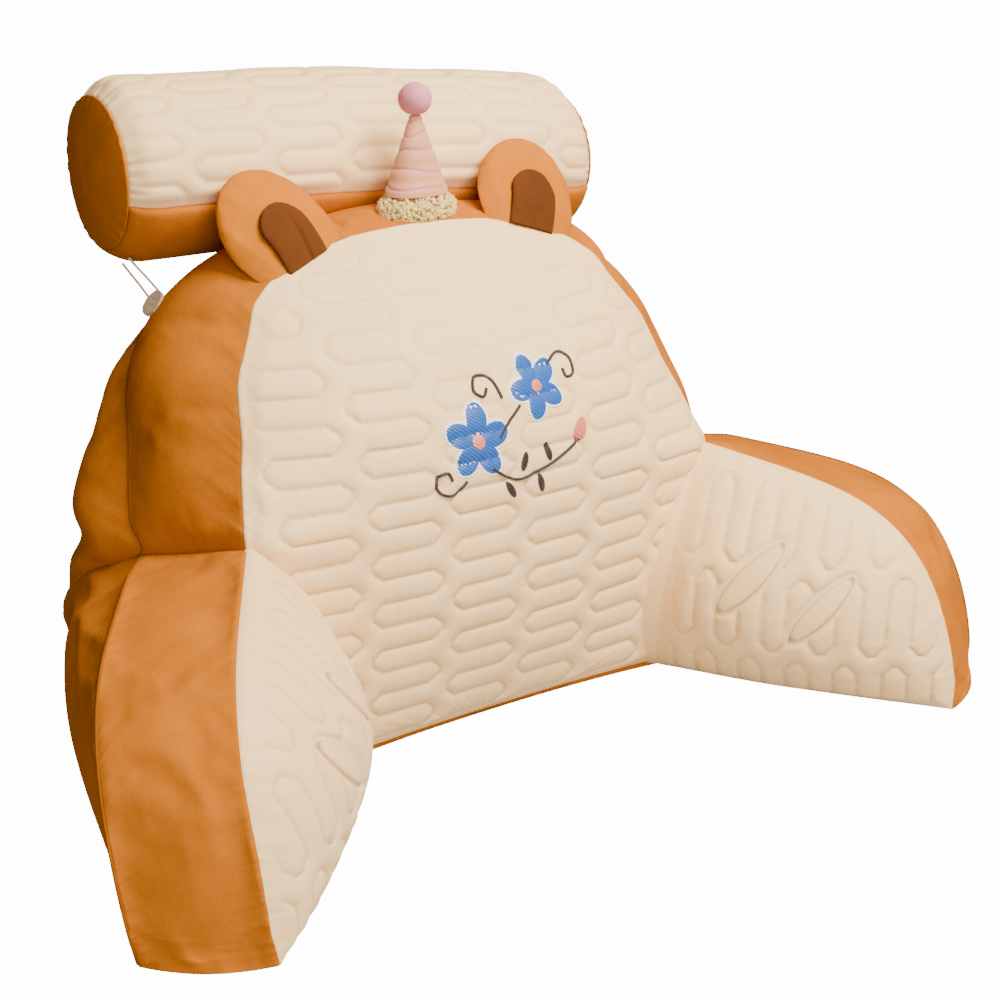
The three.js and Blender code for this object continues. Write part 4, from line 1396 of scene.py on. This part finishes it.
class PILLOW_OT_embroidery(bpy.types.Operator):
    """Embroiders a spray of two blossoms, a bud and curling stems"""

    bl_idname = "pillow.embroidery"
    bl_label = "Embroidery"

    def execute(self, context):
        for number, blossom in enumerate(BLOSSOMS):
            for petal in range(5):
                turn = math.radians(blossom["turn"] + 72 * petal)
                reach = blossom["size"] * 0.56
                x = blossom["x"] + reach * math.cos(turn)
                height = blossom["height"] + reach * math.sin(turn)
                long, wide = blossom["size"] * 0.46, blossom["size"] * 0.33
                name = f"blossom_{number}_petal_{petal}"
                self.patch(f"{name}_edge", x, height, long + 2.4, wide + 2.4, turn, 0.7, "white")
                self.patch(name, x, height, long, wide, turn, 1.2, "blue")
            heart = blossom["size"] * 0.2
            name = f"blossom_{number}_heart"
            self.patch(name, blossom["x"], blossom["height"], heart, heart, 0, 1.9, "salmon")
        self.patch("bud", 78, 262, 11, 7, math.radians(60), 1.2, "salmon")
        stems = {
            "stem_low": ((-20, 246), (4, 232), (32, 236), (58, 246), (76, 254)),
            "stem_high": ((-8, 270), (8, 284), (18, 292)),
            "curl_left": ((-46, 240), (-58, 230), (-72, 234), (-74, 246), (-64, 250), (-60, 243)),
            "curl_right": ((58, 318), (72, 326), (84, 320), (84, 308), (75, 306), (73, 313)),
            "curl_top": ((2, 300), (-4, 316), (-18, 320), (-24, 310), (-16, 304), (-11, 310)),
        }
        for name, route in stems.items():
            self.stem(name, route)
        for number, (x, height, turn) in enumerate(SMALL_LEAVES):
            self.patch(f"leaf_{number}", x, height, 8.5, 3.4, math.radians(turn), 1.0, "umber")
        return {"FINISHED"}

    def patch(self, name, x, height, long, wide, turn, thick, thread):
        bm, angle, share = ball_mesh(32, 12)
        radius = np.sin(share * math.pi) ** 0.8
        a, b = long * radius * np.cos(angle), wide * radius * np.sin(angle)
        px = x + a * math.cos(turn) - b * math.sin(turn)
        pz = height + a * math.sin(turn) + b * math.cos(turn)
        lift, _, _ = back_panel_lift(px, pz)
        front = share > 0.5
        rise = np.where(front, thick * (0.35 + 0.65 * np.sqrt(np.maximum(1 - radius**2, 0))), -0.6)
        piece = finish_mesh(name, bm, panel_surface(px, pz, lift + rise))
        paint(piece, material(thread))

    def stem(self, name, route):
        points = np.array(route, float)
        dense = []
        for i in range(len(points) - 1):
            p = [points[max(i - 1, 0)], points[i], points[i + 1], points[min(i + 2, len(points) - 1)]]
            for t in np.linspace(0, 1, 8, endpoint=False):
                dense.append(
                    0.5 * (2 * p[1] + (p[2] - p[0]) * t + (2 * p[0] - 5 * p[1] + 4 * p[2] - p[3]) * t**2
                           + (3 * p[1] - p[0] - 3 * p[2] + p[3]) * t**3)
                )
        dense.append(points[-1])
        dense = np.array(dense)
        lift, _, _ = back_panel_lift(dense[:, 0], dense[:, 1])
        path = panel_surface(dense[:, 0], dense[:, 1], lift + 0.5)
        tube_piece(name, path, 1.4, "umber")


def tube_piece(name, path, radius, thread):
    """A round thread laid along a path given in millimetres."""
    placed = np.array(path) * MM
    placed[:, 1] -= SEAM_TO_ORIGIN * MM
    curve = bpy.data.curves.new(name, "CURVE")
    curve.dimensions = "3D"
    spline = curve.splines.new("POLY")
    spline.points.add(len(placed) - 1)
    for point, co in zip(spline.points, placed):
        point.co = (*co, 1)
    curve.bevel_depth = radius * MM
    curve.bevel_resolution = 2
    curve.use_fill_caps = True
    holder = bpy.data.objects.new(name, curve)
    bpy.context.scene.collection.objects.link(holder)
    mesh = bpy.data.meshes.new_from_object(holder.evaluated_get(bpy.context.evaluated_depsgraph_get()))
    bpy.data.objects.remove(holder)
    for polygon in mesh.polygons:
        polygon.use_smooth = True
    piece = bpy.data.objects.new(name, mesh)
    bpy.context.scene.collection.objects.link(piece)
    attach(piece, "root")
    paint(piece, material(thread))
    return piece


class PILLOW_PT_panel(bpy.types.Panel):
    """Lists the pillow's pieces"""

    bl_label = "Backrest pillow"
    bl_idname = "PILLOW_PT_panel"
    bl_space_type = "VIEW_3D"
    bl_region_type = "UI"
    bl_category = "Pillow"

    def draw(self, context):
        for group in (context.scene.pillow_sizes, context.scene.pillow_colours):
            for name in group.__annotations__:
                self.layout.prop(group, name)
        for operator in OPERATORS:
            self.layout.operator(operator.bl_idname)


OPERATORS = (
    PILLOW_OT_stage,
    PILLOW_OT_back,
    PILLOW_OT_arms,
    PILLOW_OT_back_panel,
    PILLOW_OT_arm_panels,
    PILLOW_OT_roll,
    PILLOW_OT_ears,
    PILLOW_OT_hat,
    PILLOW_OT_fastenings,
    PILLOW_OT_embroidery,
)
CLASSES = (PillowSizes, PillowColours, *OPERATORS, PILLOW_PT_panel)


def register():
    for cls in CLASSES:
        bpy.utils.register_class(cls)
    bpy.types.Scene.pillow_sizes = PointerProperty(type=PillowSizes)
    bpy.types.Scene.pillow_colours = PointerProperty(type=PillowColours)


def unregister():
    del bpy.types.Scene.pillow_sizes
    del bpy.types.Scene.pillow_colours
    for cls in reversed(CLASSES):
        bpy.utils.unregister_class(cls)


def main():
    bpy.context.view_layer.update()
    register()
    for operator in OPERATORS:
        getattr(bpy.ops.pillow, operator.bl_idname.split(".")[1])()


if __name__ == "__main__":
    main()
